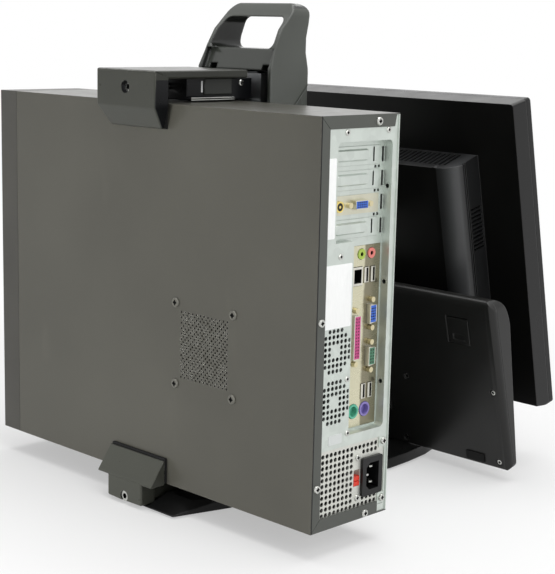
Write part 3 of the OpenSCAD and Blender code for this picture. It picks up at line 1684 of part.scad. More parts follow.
module power_button() {
    color("silver")
        difference() {
            union() {
                rod_x([pc_x1 - bezel_wall, power_y, power_z], bezel_wall + button_travel - 0.5,
                    power_button_d);
                rod_x([cover_x1 + 2, power_y, power_z], bezel_depth - bezel_wall - 2, 5);
            }
            rod_x([pc_x1 + button_travel - 1.1, power_y, power_z], 2, power_button_d - 5);
        }
}

// Keyboard

// Side view of the keyboard: the underside is flat, the key face rises towards the thick, rounded edge
kb_profile = concat(
    arc([-kb_roll, kb_length - kb_roll_w], [kb_roll, kb_roll_w], 90, 0, 6),
    arc([-kb_edge, kb_edge], [kb_edge, kb_edge], 0, -90, 3),
    [[-kb_thin + 2, 0], [-kb_thin, 4]],
    arc([-kb_roll, kb_swell], [kb_thick - kb_roll, kb_length - kb_swell], 180, 99, 9)
);

// The side view, the plan with its round corners and the rolled ends of the underside, all met together
module keyboard_form() {
    at_keyboard()
        intersection() {
            slab_yz(-kb_half - 1, kb_width + 2)
                polygon(kb_profile);
            slab_xz(-2 * kb_thick, 4 * kb_thick)
                polygon(both_sides(concat(
                    arc([kb_half - kb_low_round, kb_low_round], [kb_low_round, kb_low_round], -90, 0, 5),
                    arc([kb_half - kb_high_round, kb_length - kb_high_round],
                        [kb_high_round, kb_high_round], 0, 90, 7)
                )));
            slab_xy(-1, kb_length + 2)
                polygon(both_sides(concat(
                    [[kb_half, -2 * kb_thick]],
                    arc([kb_half - kb_roll_w, -kb_roll], [kb_roll_w, kb_roll], 0, 90, 6)
                )));
        }
}

module flip_pocket(sx, grow) {
    at_keyboard()
        block([sx * flip_x - flip_w / 2 - grow, -flip_t - grow, flip_z1 - flip_l - grow],
            [sx * flip_x + flip_w / 2 + grow, cut, flip_z1 + grow]);
}

module keyboard_bottom_case() {
    wall = 2.5;
    color([0.06, 0.06, 0.06])
        difference() {
            intersection() {
                keyboard_form();
                at_keyboard()
                    block([-kb_half, -kb_tray, -10], [kb_half, 10, kb_length + 10]);
            }
            difference() {
                at_keyboard()
                    block([-kb_half + kb_side, -kb_tray - cut, 12],
                        [kb_half - kb_side, -wall, kb_length - kb_roll_w - 1]);
                for (sx = [-1, 1])
                    flip_pocket(sx, 2.5);
                for (p = kb_screw_at)
                    at_keyboard()
                        rod_y([p[0], -kb_tray, p[1]], kb_tray, kb_screw_d + 5);
            }
            for (sx = [-1, 1]) {
                flip_pocket(sx, flip_gap);
                at_keyboard()
                    rod_x([sx * flip_x - flip_w / 2 - 2.4, -flip_t / 2, flip_z1 - flip_t / 2], flip_w + 4.8,
                        foot_pin + 2 * run_gap);
            }
            for (p = kb_screw_at)
                at_keyboard() {
                    rod_y([p[0], -kb_tray - cut, p[1]], kb_tray + 2 * cut, kb_screw_d + 2 * fit);
                    rod_y([p[0], -2, p[1]], 3, kb_screw_d + 4);
                }
        }
}

// The key blocks as [first column's x, columns]
function block_x(first) = keys_w / 2 - first * key_pitch;
key_blocks = [
    [block_x(0), main_keys],
    [block_x(main_keys) - block_gap, nav_keys],
    [block_x(main_keys + nav_keys) - 2 * block_gap, pad_keys]
];
fn_row_z = key_start + key_rows * key_pitch + 6;

module key_wells() {
    for (b = key_blocks)
        for (r = [[key_start, key_rows * key_pitch], [fn_row_z, key_pitch]])
            block([b[0] - b[1] * key_pitch - well_margin, -cut * 4, r[0] - well_margin],
                [b[0] + well_margin, key_well, r[0] + r[1] + well_margin]);
}

space_x1 = block_x(space_from);
space_x0 = block_x(space_from + space_len);
space_stem_x = [space_x0 + 12, space_x1 - 12];

module keyboard_top_case() {
    color([0.07, 0.07, 0.07])
        difference() {
            intersection() {
                keyboard_form();
                at_keyboard()
                    block([-kb_half, -100, -10], [kb_half, -kb_tray, kb_length + 10]);
            }
            at_keys()
                key_wells();
            at_keyboard()
                block([-kb_half + 6, -kb_tray - 7, kb_swell - 30],
                    [kb_half - 6, -kb_tray + cut, kb_swell + 6]);
            for (p = kb_screw_at)
                at_keyboard()
                    rod_y([p[0], -kb_tray - 3, p[1]], 4, kb_screw_d - 2 * fit + 0.8);
            // Guides of the space bar's stems, and room for its travel
            at_keys() {
                block([space_x0, 0, key_start], [space_x1, key_travel + 0.6, key_start + key_pitch]);
                for (x = space_stem_x)
                    rod_y([x, 0, key_start + key_pitch / 2], 12, space_stem + 2 * run_gap);
            }
        }
}

module keycap(w) {
    top = 1.4;
    translate([key_gap / 2, 0, key_gap / 2])
        block([0, -key_rise, 0], [w - key_gap, key_well, key_pitch - key_gap]);
    translate([key_gap / 2 + top, 0, key_gap / 2 + top])
        block([0, -key_rise - 1.5, 0], [w - key_gap - 2 * top, 0, key_pitch - key_gap - 2 * top]);
}

module keycaps() {
    color([0.09, 0.09, 0.09])
        at_keys()
            for (b = key_blocks) {
                for (c = [1:b[1]])
                    translate([b[0] - c * key_pitch, 0, fn_row_z])
                        keycap(key_pitch);
                for (r = [0:key_rows - 1], c = [1:b[1]])
                    if (!(r == 0 && b[1] == main_keys && c > space_from && c <= space_from + space_len))
                        translate([b[0] - c * key_pitch, 0, key_start + r * key_pitch])
                            keycap(key_pitch);
            }
}

module space_bar() {
    color([0.09, 0.09, 0.09])
        at_keys()
            translate([space_x0, 0, key_start]) {
                translate([key_gap / 2, 0, key_gap / 2])
                    block([0, -key_rise, 0],
                        [space_x1 - space_x0 - key_gap, 0, key_pitch - key_gap]);
                translate([key_gap, 0, key_gap])
                    block([0, -key_rise - 1.5, 0],
                        [space_x1 - space_x0 - 2 * key_gap, -key_rise + cut, key_pitch - 2 * key_gap]);
                for (x = space_stem_x)
                    rod_y([x - space_x0, -key_rise + cut, key_pitch / 2], key_rise + key_travel + 1,
                        space_stem);
            }
}

module flip_foot(sx) {
    color([0.08, 0.08, 0.08])
        at_keyboard()
            difference() {
                union() {
                    block([sx * flip_x - flip_w / 2, -flip_t, flip_z1 - flip_l],
                        [sx * flip_x + flip_w / 2, 0, flip_z1 - flip_t / 2]);
                    rod_x([sx * flip_x - flip_w / 2, -flip_t / 2, flip_z1 - flip_t / 2], flip_w, flip_t);
                    rod_x([sx * flip_x - flip_w / 2 - 2, -flip_t / 2, flip_z1 - flip_t / 2], flip_w + 4,
                        foot_pin);
                }
                block([sx * flip_x - 7, -1.2, flip_z1 - flip_l + 4],
                    [sx * flip_x + 7, cut, flip_z1 - flip_l + 10]);
            }
}

module left_flip_foot() {
    flip_foot(1);
}

module right_flip_foot() {
    flip_foot(-1);
}

module keyboard_rubber_feet() {
    color("black")
        at_keyboard()
            for (sx = [-1, 1])
                block([sx * kb_foot_x - kb_foot_w / 2, 0, kb_edge + 1],
                    [sx * kb_foot_x + kb_foot_w / 2, kb_foot_t, kb_edge + 1 + kb_foot_h]);
}

module keyboard_screws() {
    color("silver")
        at_keyboard()
            for (p = kb_screw_at)
                difference() {
                    union() {
                        rod_y([p[0], -2, p[1]], 1.6, kb_screw_d + 3);
                        rod_y([p[0], -kb_tray, p[1]], kb_tray - 1, kb_screw_d);
                    }
                    rod_y([p[0], -1, p[1]], 2, 2);
                }
}

foot_plate();
rubber_pads();
column_spine();
column_rear_shell();
column_front_shell();
carry_handle();
pc_backrest();
keyboard_cradle();
top_arm();
top_jaw();
top_jaw_pad();
top_clamp_screw();
bottom_jaw();
bottom_jaw_pad();
bottom_clamp_screw();
lift_carriage();
lift_spring();
tilt_head();
plate_screws();
monitor_back_cover();
monitor_front_bezel();
display_panel();
monitor_boards();
monitor_power_button();
monitor_menu_button();
pc_chassis();
pc_rear_panel();
pc_cover();
pc_front_bezel();
pc_screws();
slot_covers();
expansion_card();
port_shield();
motherboard();
d_shaped_ports();
usb_network_ports();
round_ports();
psu_case();
psu_inlet();
voltage_selector();
fan_frames();
psu_fan();
upper_rear_fan();
lower_rear_fan();
cpu_fan();
cpu_heatsink();
air_duct();
hard_drive();
optical_drive();
disc_tray();
eject_button();
power_button();
keyboard_bottom_case();
keyboard_top_case();
keycaps();
space_bar();
left_flip_foot();
right_flip_foot();
keyboard_rubber_feet();
keyboard_screws();
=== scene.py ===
# %% [markdown]
# # A desktop computer, monitor and keyboard on a carry stand
#
# The object is seen from behind: a slim computer held by two clamp jaws, the column and carry handle
# behind it, a flat monitor on the far side and a keyboard stowed between them. The CAD solids already
# have the right shape and place. This lesson gives them finishes, rounds the edges that the moulds and
# castings have round, and adds the small things that are too fine for CAD.
#
# Lengths are in metres. +X runs to the computer's front, +Y from the monitor to the computer, and +Z up.

import json
import math

import bmesh
import bpy
import numpy as np
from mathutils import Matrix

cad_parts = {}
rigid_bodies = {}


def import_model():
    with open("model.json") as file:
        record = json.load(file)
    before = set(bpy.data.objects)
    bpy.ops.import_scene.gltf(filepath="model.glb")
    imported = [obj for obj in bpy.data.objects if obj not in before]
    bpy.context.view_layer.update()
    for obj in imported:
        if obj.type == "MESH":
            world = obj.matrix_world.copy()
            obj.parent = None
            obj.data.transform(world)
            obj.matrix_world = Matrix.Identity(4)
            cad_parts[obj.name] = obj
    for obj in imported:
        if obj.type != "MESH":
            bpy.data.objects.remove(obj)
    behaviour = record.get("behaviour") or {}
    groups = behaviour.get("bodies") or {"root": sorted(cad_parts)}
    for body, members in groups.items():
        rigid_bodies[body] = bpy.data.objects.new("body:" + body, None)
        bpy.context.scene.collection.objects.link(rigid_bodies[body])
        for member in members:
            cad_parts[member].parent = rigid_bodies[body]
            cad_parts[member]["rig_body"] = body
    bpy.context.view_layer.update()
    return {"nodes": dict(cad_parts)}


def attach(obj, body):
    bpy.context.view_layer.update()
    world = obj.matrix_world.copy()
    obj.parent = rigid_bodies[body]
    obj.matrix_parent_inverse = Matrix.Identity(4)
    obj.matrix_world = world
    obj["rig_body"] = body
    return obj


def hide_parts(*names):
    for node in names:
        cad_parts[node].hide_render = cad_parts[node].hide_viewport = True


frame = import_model()
print("CAD nodes:", len(frame["nodes"]))

# %% [markdown]
# ## The camera
#
# The camera was fitted to the computer's edges in the photo. A camera looks along its own -Z, so its
# matrix holds three columns: right, up, and back. A small roll turns right and up about the view line.

# %% Set up the camera
EYE = np.array([-0.99894, 0.97552, 0.44665])
LOOK = np.array([0.6893, -0.7015, -0.1810])
ROLL = math.radians(1.29)


def camera_matrix(eye, look, roll):
    """Columns right, up, back and place: right is look x Z, up is right x look, both turned by roll."""
    look = look / np.linalg.norm(look)
    right = np.cross(look, [0, 0, 1])
    right = right / np.linalg.norm(right)
    up = np.cross(right, look)
    turned_right = math.cos(roll) * right + math.sin(roll) * up
    turned_up = math.cos(roll) * up - math.sin(roll) * right
    matrix = np.eye(4)
    matrix[:3, :] = np.stack([turned_right, turned_up, -look, eye], axis=1)
    return matrix


camera = bpy.data.objects.new("camera", bpy.data.cameras.new("camera"))
bpy.context.scene.collection.objects.link(camera)
camera.matrix_world = camera_matrix(EYE, LOOK, ROLL).T.tolist()
camera.data.lens = 89.74
camera.data.sensor_width = 36
bpy.context.scene.camera = camera
print("camera at", EYE)

# %% [markdown]
# ## Writing shaders as sums
#
# A finish is a small network of nodes. It could be built by hand, node by node, but sums are easier to
# read as sums. `Wire` stands for a value inside a network: adding or multiplying wires adds Math nodes.
# `Network` is any node tree, and its method `node` makes every other node. `Finish` is the network of one
# material.


# %% Wires and networks
class Wire:
    """A value on a wire of one network: arithmetic on it adds a Math node."""

    def __init__(self, network, socket):
        self.network = network
        self.socket = socket

    def math(self, operation, *values):
        return self.network.node("ShaderNodeMath", {"operation": operation}, dict(enumerate(values)))

    def __add__(self, other):
        return self.math("ADD", self, other)

    def __radd__(self, other):
        return self.math("ADD", other, self)

    def __sub__(self, other):
        return self.math("SUBTRACT", self, other)

    def __rsub__(self, other):
        return self.math("SUBTRACT", other, self)

    def __mul__(self, other):
        return self.math("MULTIPLY", self, other)

    def __gt__(self, other):
        return self.math("GREATER_THAN", self, other)

    def __lt__(self, other):
        return self.math("LESS_THAN", self, other)

    def __abs__(self):
        return self.math("ABSOLUTE", self)

    def ease(self, low, high):
        """0 below low, 1 above high, and a smooth S-curve between."""
        sockets = {"Value": self, "From Min": low, "From Max": high}
        return self.network.node("ShaderNodeMapRange", {"interpolation_type": "SMOOTHSTEP"}, sockets)

    def between(self, low, high):
        """1 from low to high, 0 elsewhere."""
        return (self > low) * (self < high)


class Network:
    """A node tree: `node` makes a node and gives one of its outputs, `plug` sets or links a socket."""

    def __init__(self, tree):
        self.tree = tree

    def plug(self, socket, value):
        if isinstance(value, Wire):
            self.tree.links.new(value.socket, socket)
        else:
            socket.default_value = value

    def node(self, kind, settings=None, sockets=None, out=0):
        made = self.tree.nodes.new(kind)
        for key, value in (settings or {}).items():
            setattr(made, key, value)
        for key, value in (sockets or {}).items():
            self.plug(made.inputs[key], value)
        return Wire(self, made.outputs[out])


print("wires and networks ready")


# %% Finishes
class Finish(Network):
    """One material, with its nodes and the sockets of its surface shader."""

    def __init__(self, name, **fixed):
        self.material = bpy.data.materials.new(name)
        self.material.use_nodes = True
        super().__init__(self.material.node_tree)
        self.shader = self.tree.nodes["Principled BSDF"]
        self.point = self.node("ShaderNodeTexCoord", out="Object")
        for socket, value in fixed.items():
            self.feed(socket.replace("_", " ").title().replace("Ior", "IOR"), value)

    def feed(self, socket, value):
        self.plug(self.shader.inputs[socket], value)

    def split(self, vector):
        """The X, Y and Z of a vector."""
        first = self.node("ShaderNodeSeparateXYZ", None, {0: vector})
        return [Wire(self, socket) for socket in first.socket.node.outputs]

    def axes(self):
        """The X, Y and Z of the point being shaded."""
        return self.split(self.point)

    def facing(self):
        """The X, Y and Z of the way the surface faces."""
        return self.split(self.node("ShaderNodeNewGeometry", out="Normal"))

    def noise(self, scale, detail=2.0, stretch=(1, 1, 1)):
        """Cloudy noise with about `scale` blobs in a metre, squeezed by `stretch` along each axis."""
        at = self.node("ShaderNodeMapping", None, {"Vector": self.point, "Scale": stretch})
        return self.node("ShaderNodeTexNoise", None, {"Vector": at, "Scale": scale, "Detail": detail})

    def cells(self, scale):
        """A random grey for each cell of a crystal-like pattern, `scale` cells in a metre."""
        colour = self.node("ShaderNodeTexVoronoi", None, {"Vector": self.point, "Scale": scale}, "Color")
        return self.node("ShaderNodeSeparateColor", None, {0: colour})

    def pits(self, scale):
        """Distance to the nearest cell centre: round pits, `scale` in a metre."""
        return self.node("ShaderNodeTexVoronoi", None, {"Vector": self.point, "Scale": scale}, "Distance")

    def tint(self, amount, first, second):
        """The first colour where amount is 0, the second where it is 1."""
        sockets = {0: amount, 6: first, 7: second}
        return self.node("ShaderNodeMix", {"data_type": "RGBA"}, sockets, 2)

    def edges(self, radius):
        """1 on edges: how far the normal, averaged over `radius`, leans from the face's own."""
        mean = self.node("ShaderNodeBevel", {"samples": 4}, {"Radius": radius})
        own = self.node("ShaderNodeNewGeometry", out="Normal")
        lean = self.node("ShaderNodeVectorMath", {"operation": "DOT_PRODUCT"}, {0: mean, 1: own}, "Value")
        return (1 - lean).ease(0.02, 0.25)

    def relief(self, height, depth, strength=1.0, soft=0.0):
        """Bumps the normal by a height of 0 to 1 that stands for `depth` metres.

        With `soft`, the normal is first averaged over that radius, so that edges look round.
        """
        sockets = {"Strength": strength, "Distance": depth, "Height": height}
        if soft > 0:
            sockets["Normal"] = self.node("ShaderNodeBevel", {"samples": 6}, {"Radius": soft})
        self.feed("Normal", self.node("ShaderNodeBump", None, sockets))


print("finishes can be made")

# %% [markdown]
# A colour in a photo is a screen value, while a shader counts light. Typing light values by eye would take
# many tries, so `paint` turns a screen colour into light by the screen's own curve.


# %% Colours
def paint(red, green, blue):
    """A screen colour of 0 to 255 as the linear light a shader takes: the usual curve of power 2.4."""
    part = np.array([red, green, blue]) / 255
    linear = np.where(part <= 0.04045, part / 12.92, ((part + 0.055) / 1.055) ** 2.4)
    return (*linear.tolist(), 1.0)


def shade(colour, factor):
    """The same paint, lighter or darker by a factor."""
    return (*[min(1.0, c * factor) for c in colour[:3]], 1.0)


print("middle grey of 128 as light:", round(paint(128, 128, 128)[0], 3))

# %% [markdown]
# ## Moulded plastic
#
# Moulded cases have a fine sparkle grain from the mould, a slow drift of colour, and edges that are paler
# and smoother: partly rubbed by hands, partly a painted highlight. An image of plastic would tile and blur,
# so noise on the object's own coordinates is used: its scale is real, in blobs to the metre. Black plastic
# mirrors little of the room, so its level of shine is a number for each finish.


# %% Recipe for moulded plastic
def moulded(name, colour, gloss, grain=1600, depth=0.00005, wear_and_highlight=0.35, shine=0.25, dark=None, soft=0.0):
    """Grain bumps the normal, slow noise drifts the colour, edges are paler and smoother: partly wear,
    partly a painted highlight.

    Where the mask `dark` is 1 the colour is darker, and with `soft` the edges look round.
    """
    finish = Finish(name, specular_ior_level=shine)
    drift = finish.noise(9, 4)
    smear = finish.noise(45, 3)
    edge = finish.edges(0.0012) * finish.noise(160, 3).ease(0.3, 0.7)
    body = finish.tint(drift.ease(0.3, 0.7), shade(colour, 0.86), shade(colour, 1.12))
    # Pale edges: partly wear, partly a painted highlight.
    worn_and_lit = tuple(c * 0.8 + 0.05 for c in colour[:3]) + (1.0,)
    top = finish.tint(edge * wear_and_highlight, body, worn_and_lit)
    if dark is not None:
        top = finish.tint(dark(finish), top, shade(colour, 0.22))
    finish.feed("Base Color", top)
    finish.feed("Roughness", gloss + (smear - 0.5) * 0.16 - edge * 0.08)
    finish.relief(finish.noise(grain, 1), depth, 0.6, soft)
    return finish


print("recipe for moulded plastic ready")


# %% Darker parts of the plastics
def handle_window_shade(finish):
    """Painted shade in the handle's window: faces inside it that look along -X."""
    x, _, z = finish.axes()
    return (0 - finish.facing()[0]).ease(0.2, 0.6) * (x > -0.042) * (z > 0.4)


def shell_back(finish):
    """The face of the column that looks at the computer, along +Y."""
    return finish.facing()[1].ease(0.5, 0.8)


def off_hump_sheen(finish):
    """Darker on the hump's middle and its straight sides, so that only the round between them keeps its
    painted sheen.
    """
    across = abs(finish.axes()[0])
    return 1 - across.ease(0.119, 0.139) * (1 - across.ease(0.1405, 0.1425))


print("masks:", [mask.__name__ for mask in (handle_window_shade, shell_back, off_hump_sheen)])

# %% The plastics
handle_plastic = moulded(
    "handle_plastic", paint(66, 69, 64), 0.22, shine=0.5, dark=handle_window_shade, soft=0.003
)
shell_plastic = moulded(
    "shell_plastic", paint(62, 65, 61), 0.3, shine=0.35, dark=shell_back, soft=0.0015
)
stand_plastic = moulded("stand_plastic", paint(20, 20, 20), 0.3, shine=0.2, soft=0.0015)
monitor_mould = {"grain": 1300, "wear_and_highlight": 0.3}
monitor_plastic = moulded(
    "monitor_plastic", paint(14, 14, 13), 0.34, depth=0.00006, shine=0.14, **monitor_mould
)
rim_plastic = moulded(
    "rim_plastic", paint(18, 18, 18), 0.3, depth=0.00004, shine=0.22, soft=0.0015, **monitor_mould
)
top_plastic = moulded("top_plastic", paint(28, 28, 26), 0.42, depth=0.00003, shine=0.6, **monitor_mould)
# The hump's pale colour is a painted sheen on its round.
hump_sheen_plastic = moulded(
    "hump_sheen_plastic", paint(58, 59, 60), 0.34, depth=0.00004, shine=0.5, dark=off_hump_sheen, soft=0.0015,
    **monitor_mould,
)
keyboard_plastic = moulded(
    "keyboard_plastic", paint(25, 25, 24), 0.34, grain=1500, depth=0.00004, wear_and_highlight=0.6, shine=0.35, soft=0.0012
)
key_plastic = moulded("key_plastic", paint(24, 24, 24), 0.5, grain=2200, depth=0.00004, wear_and_highlight=0.5)
bezel_plastic = moulded("bezel_plastic", paint(58, 57, 53), 0.4)
button_plastic = moulded("button_plastic", paint(120, 122, 120), 0.35)
fan_plastic = moulded("fan_plastic", paint(18, 18, 19), 0.5)
duct_plastic = moulded("duct_plastic", paint(30, 30, 31), 0.5)
red_plastic = moulded("red_plastic", paint(214, 62, 46), 0.35, wear_and_highlight=0.2)
print("plastics:", len(bpy.data.materials))

# %% [markdown]
# ## Powder coat
#
# The computer's cover and the jaws are sheet and castings with a satin powder coat. Its skin is like
# orange peel, about a millimetre across, so pits of that size bump the normal a few hundredths of a
# millimetre. Screws and hands have left thin scuffs, which are noise squeezed into streaks. Pale edges are
# partly wear and partly a painted highlight. A casting's end faces and bores are painted black as shade,
# so a finish may be given masks with colours of their own.


# %% Recipe for powder coat
def powder_coat(name, colour, gloss, wear_and_highlight, shine, parts=()):
    """Orange-peel pits, slow colour drift, pale edges (partly wear, partly a painted highlight) and faint
    streaks.

    Each of `parts` is a mask and the colour that covers the coat where the mask is 1.
    """
    finish = Finish(name, specular_ior_level=shine)
    drift = finish.noise(6, 4)
    streak = finish.noise(30, 4, (1, 8, 0.35)).ease(0.6, 0.8)
    edge = finish.edges(0.001) * finish.noise(220, 3).ease(0.35, 0.65)
    body = finish.tint(drift.ease(0.25, 0.75), shade(colour, 0.9), shade(colour, 1.08))
    scuffed = finish.tint(streak * 0.12, body, shade(colour, 1.9))
    # Pale edges: partly wear, partly a painted highlight.
    worn_and_lit = finish.tint(edge * wear_and_highlight, scuffed, paint(168, 168, 162))
    for mask, other in parts:
        worn_and_lit = finish.tint(mask(finish), worn_and_lit, other)
    finish.feed("Base Color", worn_and_lit)
    finish.feed("Roughness", gloss + (finish.noise(70, 3) - 0.5) * 0.14 + streak * 0.06)
    finish.relief(finish.pits(900) + finish.noise(500, 2), 0.00005, 0.5)
    return finish


print("recipe for powder coat ready")

# %% Masks of the paints
REAR_FACE = -0.220
FLANGE_EDGE = 0.1362
JAW_FRONT = 0.1573
TOP_SCREW_Z = 0.3885
LOW_SCREW_Z = 0.008


def in_rod(finish, height, radius):
    """1 in a rod along Y, at X = 0 and Z = height: the squared distance is under the squared radius."""
    x, _, z = finish.axes()
    rise = z - height
    return (x * x + rise * rise) < radius * radius


def jaw_end_shade(finish):
    """Painted shade: black on faces that look along X, up to the jaw's rim, and in the bore of the clamp
    screw.
    """
    _, y, z = finish.axes()
    ends = abs(finish.facing()[0]).ease(0.55, 0.85) * (z < 0.3957)
    return ends.math("MAXIMUM", ends, in_rod(finish, TOP_SCREW_Z, 0.0063) * (y < JAW_FRONT))


def low_bore_shade(finish):
    """Painted shade: black in the bore of the lower clamp screw."""
    return in_rod(finish, LOW_SCREW_Z, 0.0058) * (finish.axes()[1] < JAW_FRONT)


def cover_fold(finish):
    """The dark line where the cover folds round on to the rear face."""
    x, y, _ = finish.axes()
    return (x < REAR_FACE) * y.between(FLANGE_EDGE, FLANGE_EDGE + 0.0012)


def cover_flange(finish):
    """The folded edge of the cover on the rear face, which is a cooler grey than its outside."""
    x, y, _ = finish.axes()
    return (x < REAR_FACE + 0.0002) * (y < FLANGE_EDGE)


def slider_black(finish):
    """Black outside the slider's grey block, which lies between two values of Y."""
    _, y, z = finish.axes()
    return 1 - y.between(0.0525, 0.0872) * (z > 0.381)


print("rear face at", REAR_FACE, "and jaw front at", JAW_FRONT)

# %% The paints
# coal paints shade in the bores, the hexes and on the jaws' end faces; it is also the dark of the cover's
# fold line and the slider's black.
coal = paint(12, 13, 15)
case_parts = [(cover_flange, paint(82, 84, 80)), (cover_fold, coal)]
# The cover's strongly pale edges are mostly a painted highlight along its folds.
case_paint = powder_coat("case_paint", paint(69, 68, 62), 0.32, wear_and_highlight=0.75, shine=0.22, parts=case_parts)
jaw_paint = powder_coat(
    "jaw_paint", paint(50, 51, 46), 0.3, wear_and_highlight=0.3, shine=0.22, parts=[(jaw_end_shade, coal)]
)
low_jaw_paint = powder_coat(
    "low_jaw_paint", paint(58, 59, 53), 0.3, wear_and_highlight=0.3, shine=0.25, parts=[(low_bore_shade, coal)]
)
arm_paint = powder_coat(
    "arm_paint", paint(58, 60, 57), 0.3, wear_and_highlight=0.5, shine=0.2, parts=[(slider_black, coal)]
)
head_paint = powder_coat("head_paint", paint(22, 23, 23), 0.4, wear_and_highlight=0.3, shine=0.2)
print("paints ready")

# %% [markdown]
# ## Metals
#
# The rear panel is zinc-coated sheet. Zinc cools in crystals, the spangle, so each cell of a crystal
# pattern gets its own grey and gloss. Rolled sheet also has faint lines along one way. Screws are plated
# and turned, and the extrusion is drawn, so their lines are finer. One half of the port shield is painted
# darker and browner as shade, and the hex in each clamp screw's head is painted dark as shade.


# %% Recipe for metal
def metal(name, colour, gloss, lines, amount=1.0, spangle=0.0, shade_mask=None, shade_colour=None):
    """Drawn lines in colour and gloss, crystal cells where there is a spangle, and darker clouds of tarnish.

    Where the painted-shade mask is 1, the metal takes the painted-shade colour.
    """
    finish = Finish(name, metallic=amount)
    line = finish.noise(220, 3, lines)
    tarnish = finish.noise(28, 5).ease(0.45, 0.8)
    crystal = finish.cells(130) * spangle
    light = line * 0.24 + crystal * 0.3
    bright = finish.tint(light, shade(colour, 0.86), shade(colour, 1.14))
    top = finish.tint(tarnish * 0.25, bright, shade(colour, 0.72))
    if shade_mask is not None:
        top = finish.tint(shade_mask(finish), top, shade_colour)
    finish.feed("Base Color", top)
    finish.feed("Roughness", gloss + (line - 0.5) * 0.14 + crystal * 0.08 + tarnish * 0.1)
    finish.relief(line, 0.00002, 0.5)
    return finish


print("recipe for metal ready")


# %% The metals
def shield_shade(finish):
    """Painted shade on the half of the port shield towards -Y, darker and browner, with a cloudy border."""
    y = finish.axes()[1]
    return (0.0685 - y + (finish.noise(90, 3) - 0.5) * 0.004).ease(-0.0015, 0.0015) * 0.85


def hex_pit_shade(finish):
    """Painted shade at the bottom of the hex in the head of each clamp screw."""
    y = finish.axes()[1]
    top = in_rod(finish, TOP_SCREW_Z, 0.0029) * (y < 0.1537)
    low = in_rod(finish, LOW_SCREW_Z, 0.0029) * (y < 0.1567)
    return top + low


# The painted shade of one half of the port shield.
shield_shade_colour = paint(116, 110, 90)
plated = paint(206, 207, 202)
zinc_sheet = metal("zinc_sheet", paint(206, 213, 207), 0.36, (1, 1, 0.05), amount=0.8, spangle=1.0)
supply_sheet = metal("supply_sheet", paint(214, 215, 208), 0.4, (1, 0.05, 1), amount=0.6, spangle=0.6)
shield_sheet = metal(
    "shield_sheet", paint(218, 214, 186), 0.26, (1, 0.06, 1), amount=0.8, shade_mask=shield_shade,
    shade_colour=shield_shade_colour,
)
steel = metal("steel", plated, 0.26, (1, 6, 6))
clamp_steel = metal("clamp_steel", plated, 0.26, (6, 1, 6), shade_mask=hex_pit_shade, shade_colour=coal)
dark_steel = metal("dark_steel", paint(112, 111, 104), 0.34, (1, 6, 6), amount=0.8)
aluminium = metal("aluminium", paint(190, 192, 194), 0.34, (6, 6, 0.05))
print("metals ready")

# %% [markdown]
# ## Rubber, boards and glass
#
# Rubber pads are a soft, rough plastic, so the recipe for plastic makes them too, and also the painted shade
# at the bottom of a hole. A circuit board is green lacquer over copper tracks with dark chips. It is only
# seen through vents, so a brick pattern stands for the tracks. The screen is off: a nearly black panel with
# wiping marks. Labels are printed film, left bare.

# %% Rubber and pits
rubber = moulded("rubber", paint(22, 22, 22), 0.82, grain=900, depth=0.00012, wear_and_highlight=0.15)
pit_shade = moulded("pit_shade", paint(14, 14, 14), 0.6, wear_and_highlight=0.0, shine=0.1)
print("soft finishes:", rubber.material.name, pit_shade.material.name)


# %% Boards, glass and film
def circuit_board(name):
    """Green lacquer with copper tracks: a brick pattern turned on its side, darkened by cells."""
    finish = Finish(name)
    at = finish.node("ShaderNodeMapping", None, {"Vector": finish.point, "Rotation": (1.5708, 0, 0)})
    settings = {"offset": 0.5, "squash": 2.0}
    sizes = {"Vector": at, "Scale": 110.0, "Mortar Size": 0.06, "Brick Width": 0.9, "Row Height": 0.22}
    track = finish.node("ShaderNodeTexBrick", settings, sizes, "Fac")
    block = finish.cells(70).ease(0.62, 0.7)
    lacquer = finish.tint(finish.noise(40, 4), paint(22, 62, 40), paint(34, 88, 56))
    lined = finish.tint(track * 0.45, lacquer, paint(120, 130, 70))
    finish.feed("Base Color", finish.tint(block * 0.7, lined, paint(24, 25, 26)))
    finish.feed("Roughness", 0.38 + block * 0.2)
    finish.relief(track + block, 0.0001, 0.5)
    return finish


def dark_glass(name):
    """A switched-off panel: near-black, almost even, with fine bumps and wiping marks."""
    finish = Finish(name, coat_weight=0.4, coat_roughness=0.12)
    wipe = finish.noise(12, 4, (1, 1, 3))
    finish.feed("Base Color", finish.tint(wipe, paint(13, 14, 16), paint(22, 23, 26)))
    finish.feed("Roughness", 0.22 + wipe * 0.12)
    finish.relief(finish.noise(3000, 1), 0.00001, 0.4)
    return finish


def film(name, colour):
    """Bare printed film: even, with a faint fibre and a little drift in roughness."""
    finish = Finish(name)
    fibre = finish.noise(500, 3, (1, 1, 0.2))
    finish.feed("Base Color", finish.tint(fibre, shade(colour, 0.94), shade(colour, 1.04)))
    finish.feed("Roughness", 0.5 + (finish.noise(60, 3) - 0.5) * 0.2)
    finish.relief(fibre, 0.00002, 0.4)
    return finish


boards = circuit_board("boards")
screen = dark_glass("screen")
supply_film = film("supply_film", paint(206, 210, 208))
white_film = film("white_film", paint(244, 245, 244))
print("finishes:", len(bpy.data.materials))

# %% [markdown]
# ## Port colours
#
# The ports are moulded in different colours so that a plug finds its place. Each row of ports is one
# CAD node, so one finish colours it by place: a mask is 1 inside a box or a circle on the rear face, and
# between two depths, because a shell's rim is metal and only what lies inside it is coloured. Pin holes
# are painted dark as shade and stand in even rows, so one wrapped distance makes them all.


# %% Masks on the rear face
def in_box(finish, y, z, half_y, half_z):
    """1 where the point is within half_y of y and half_z of z."""
    place = finish.axes()
    return (abs(place[1] - y) < half_y) * (abs(place[2] - z) < half_z)


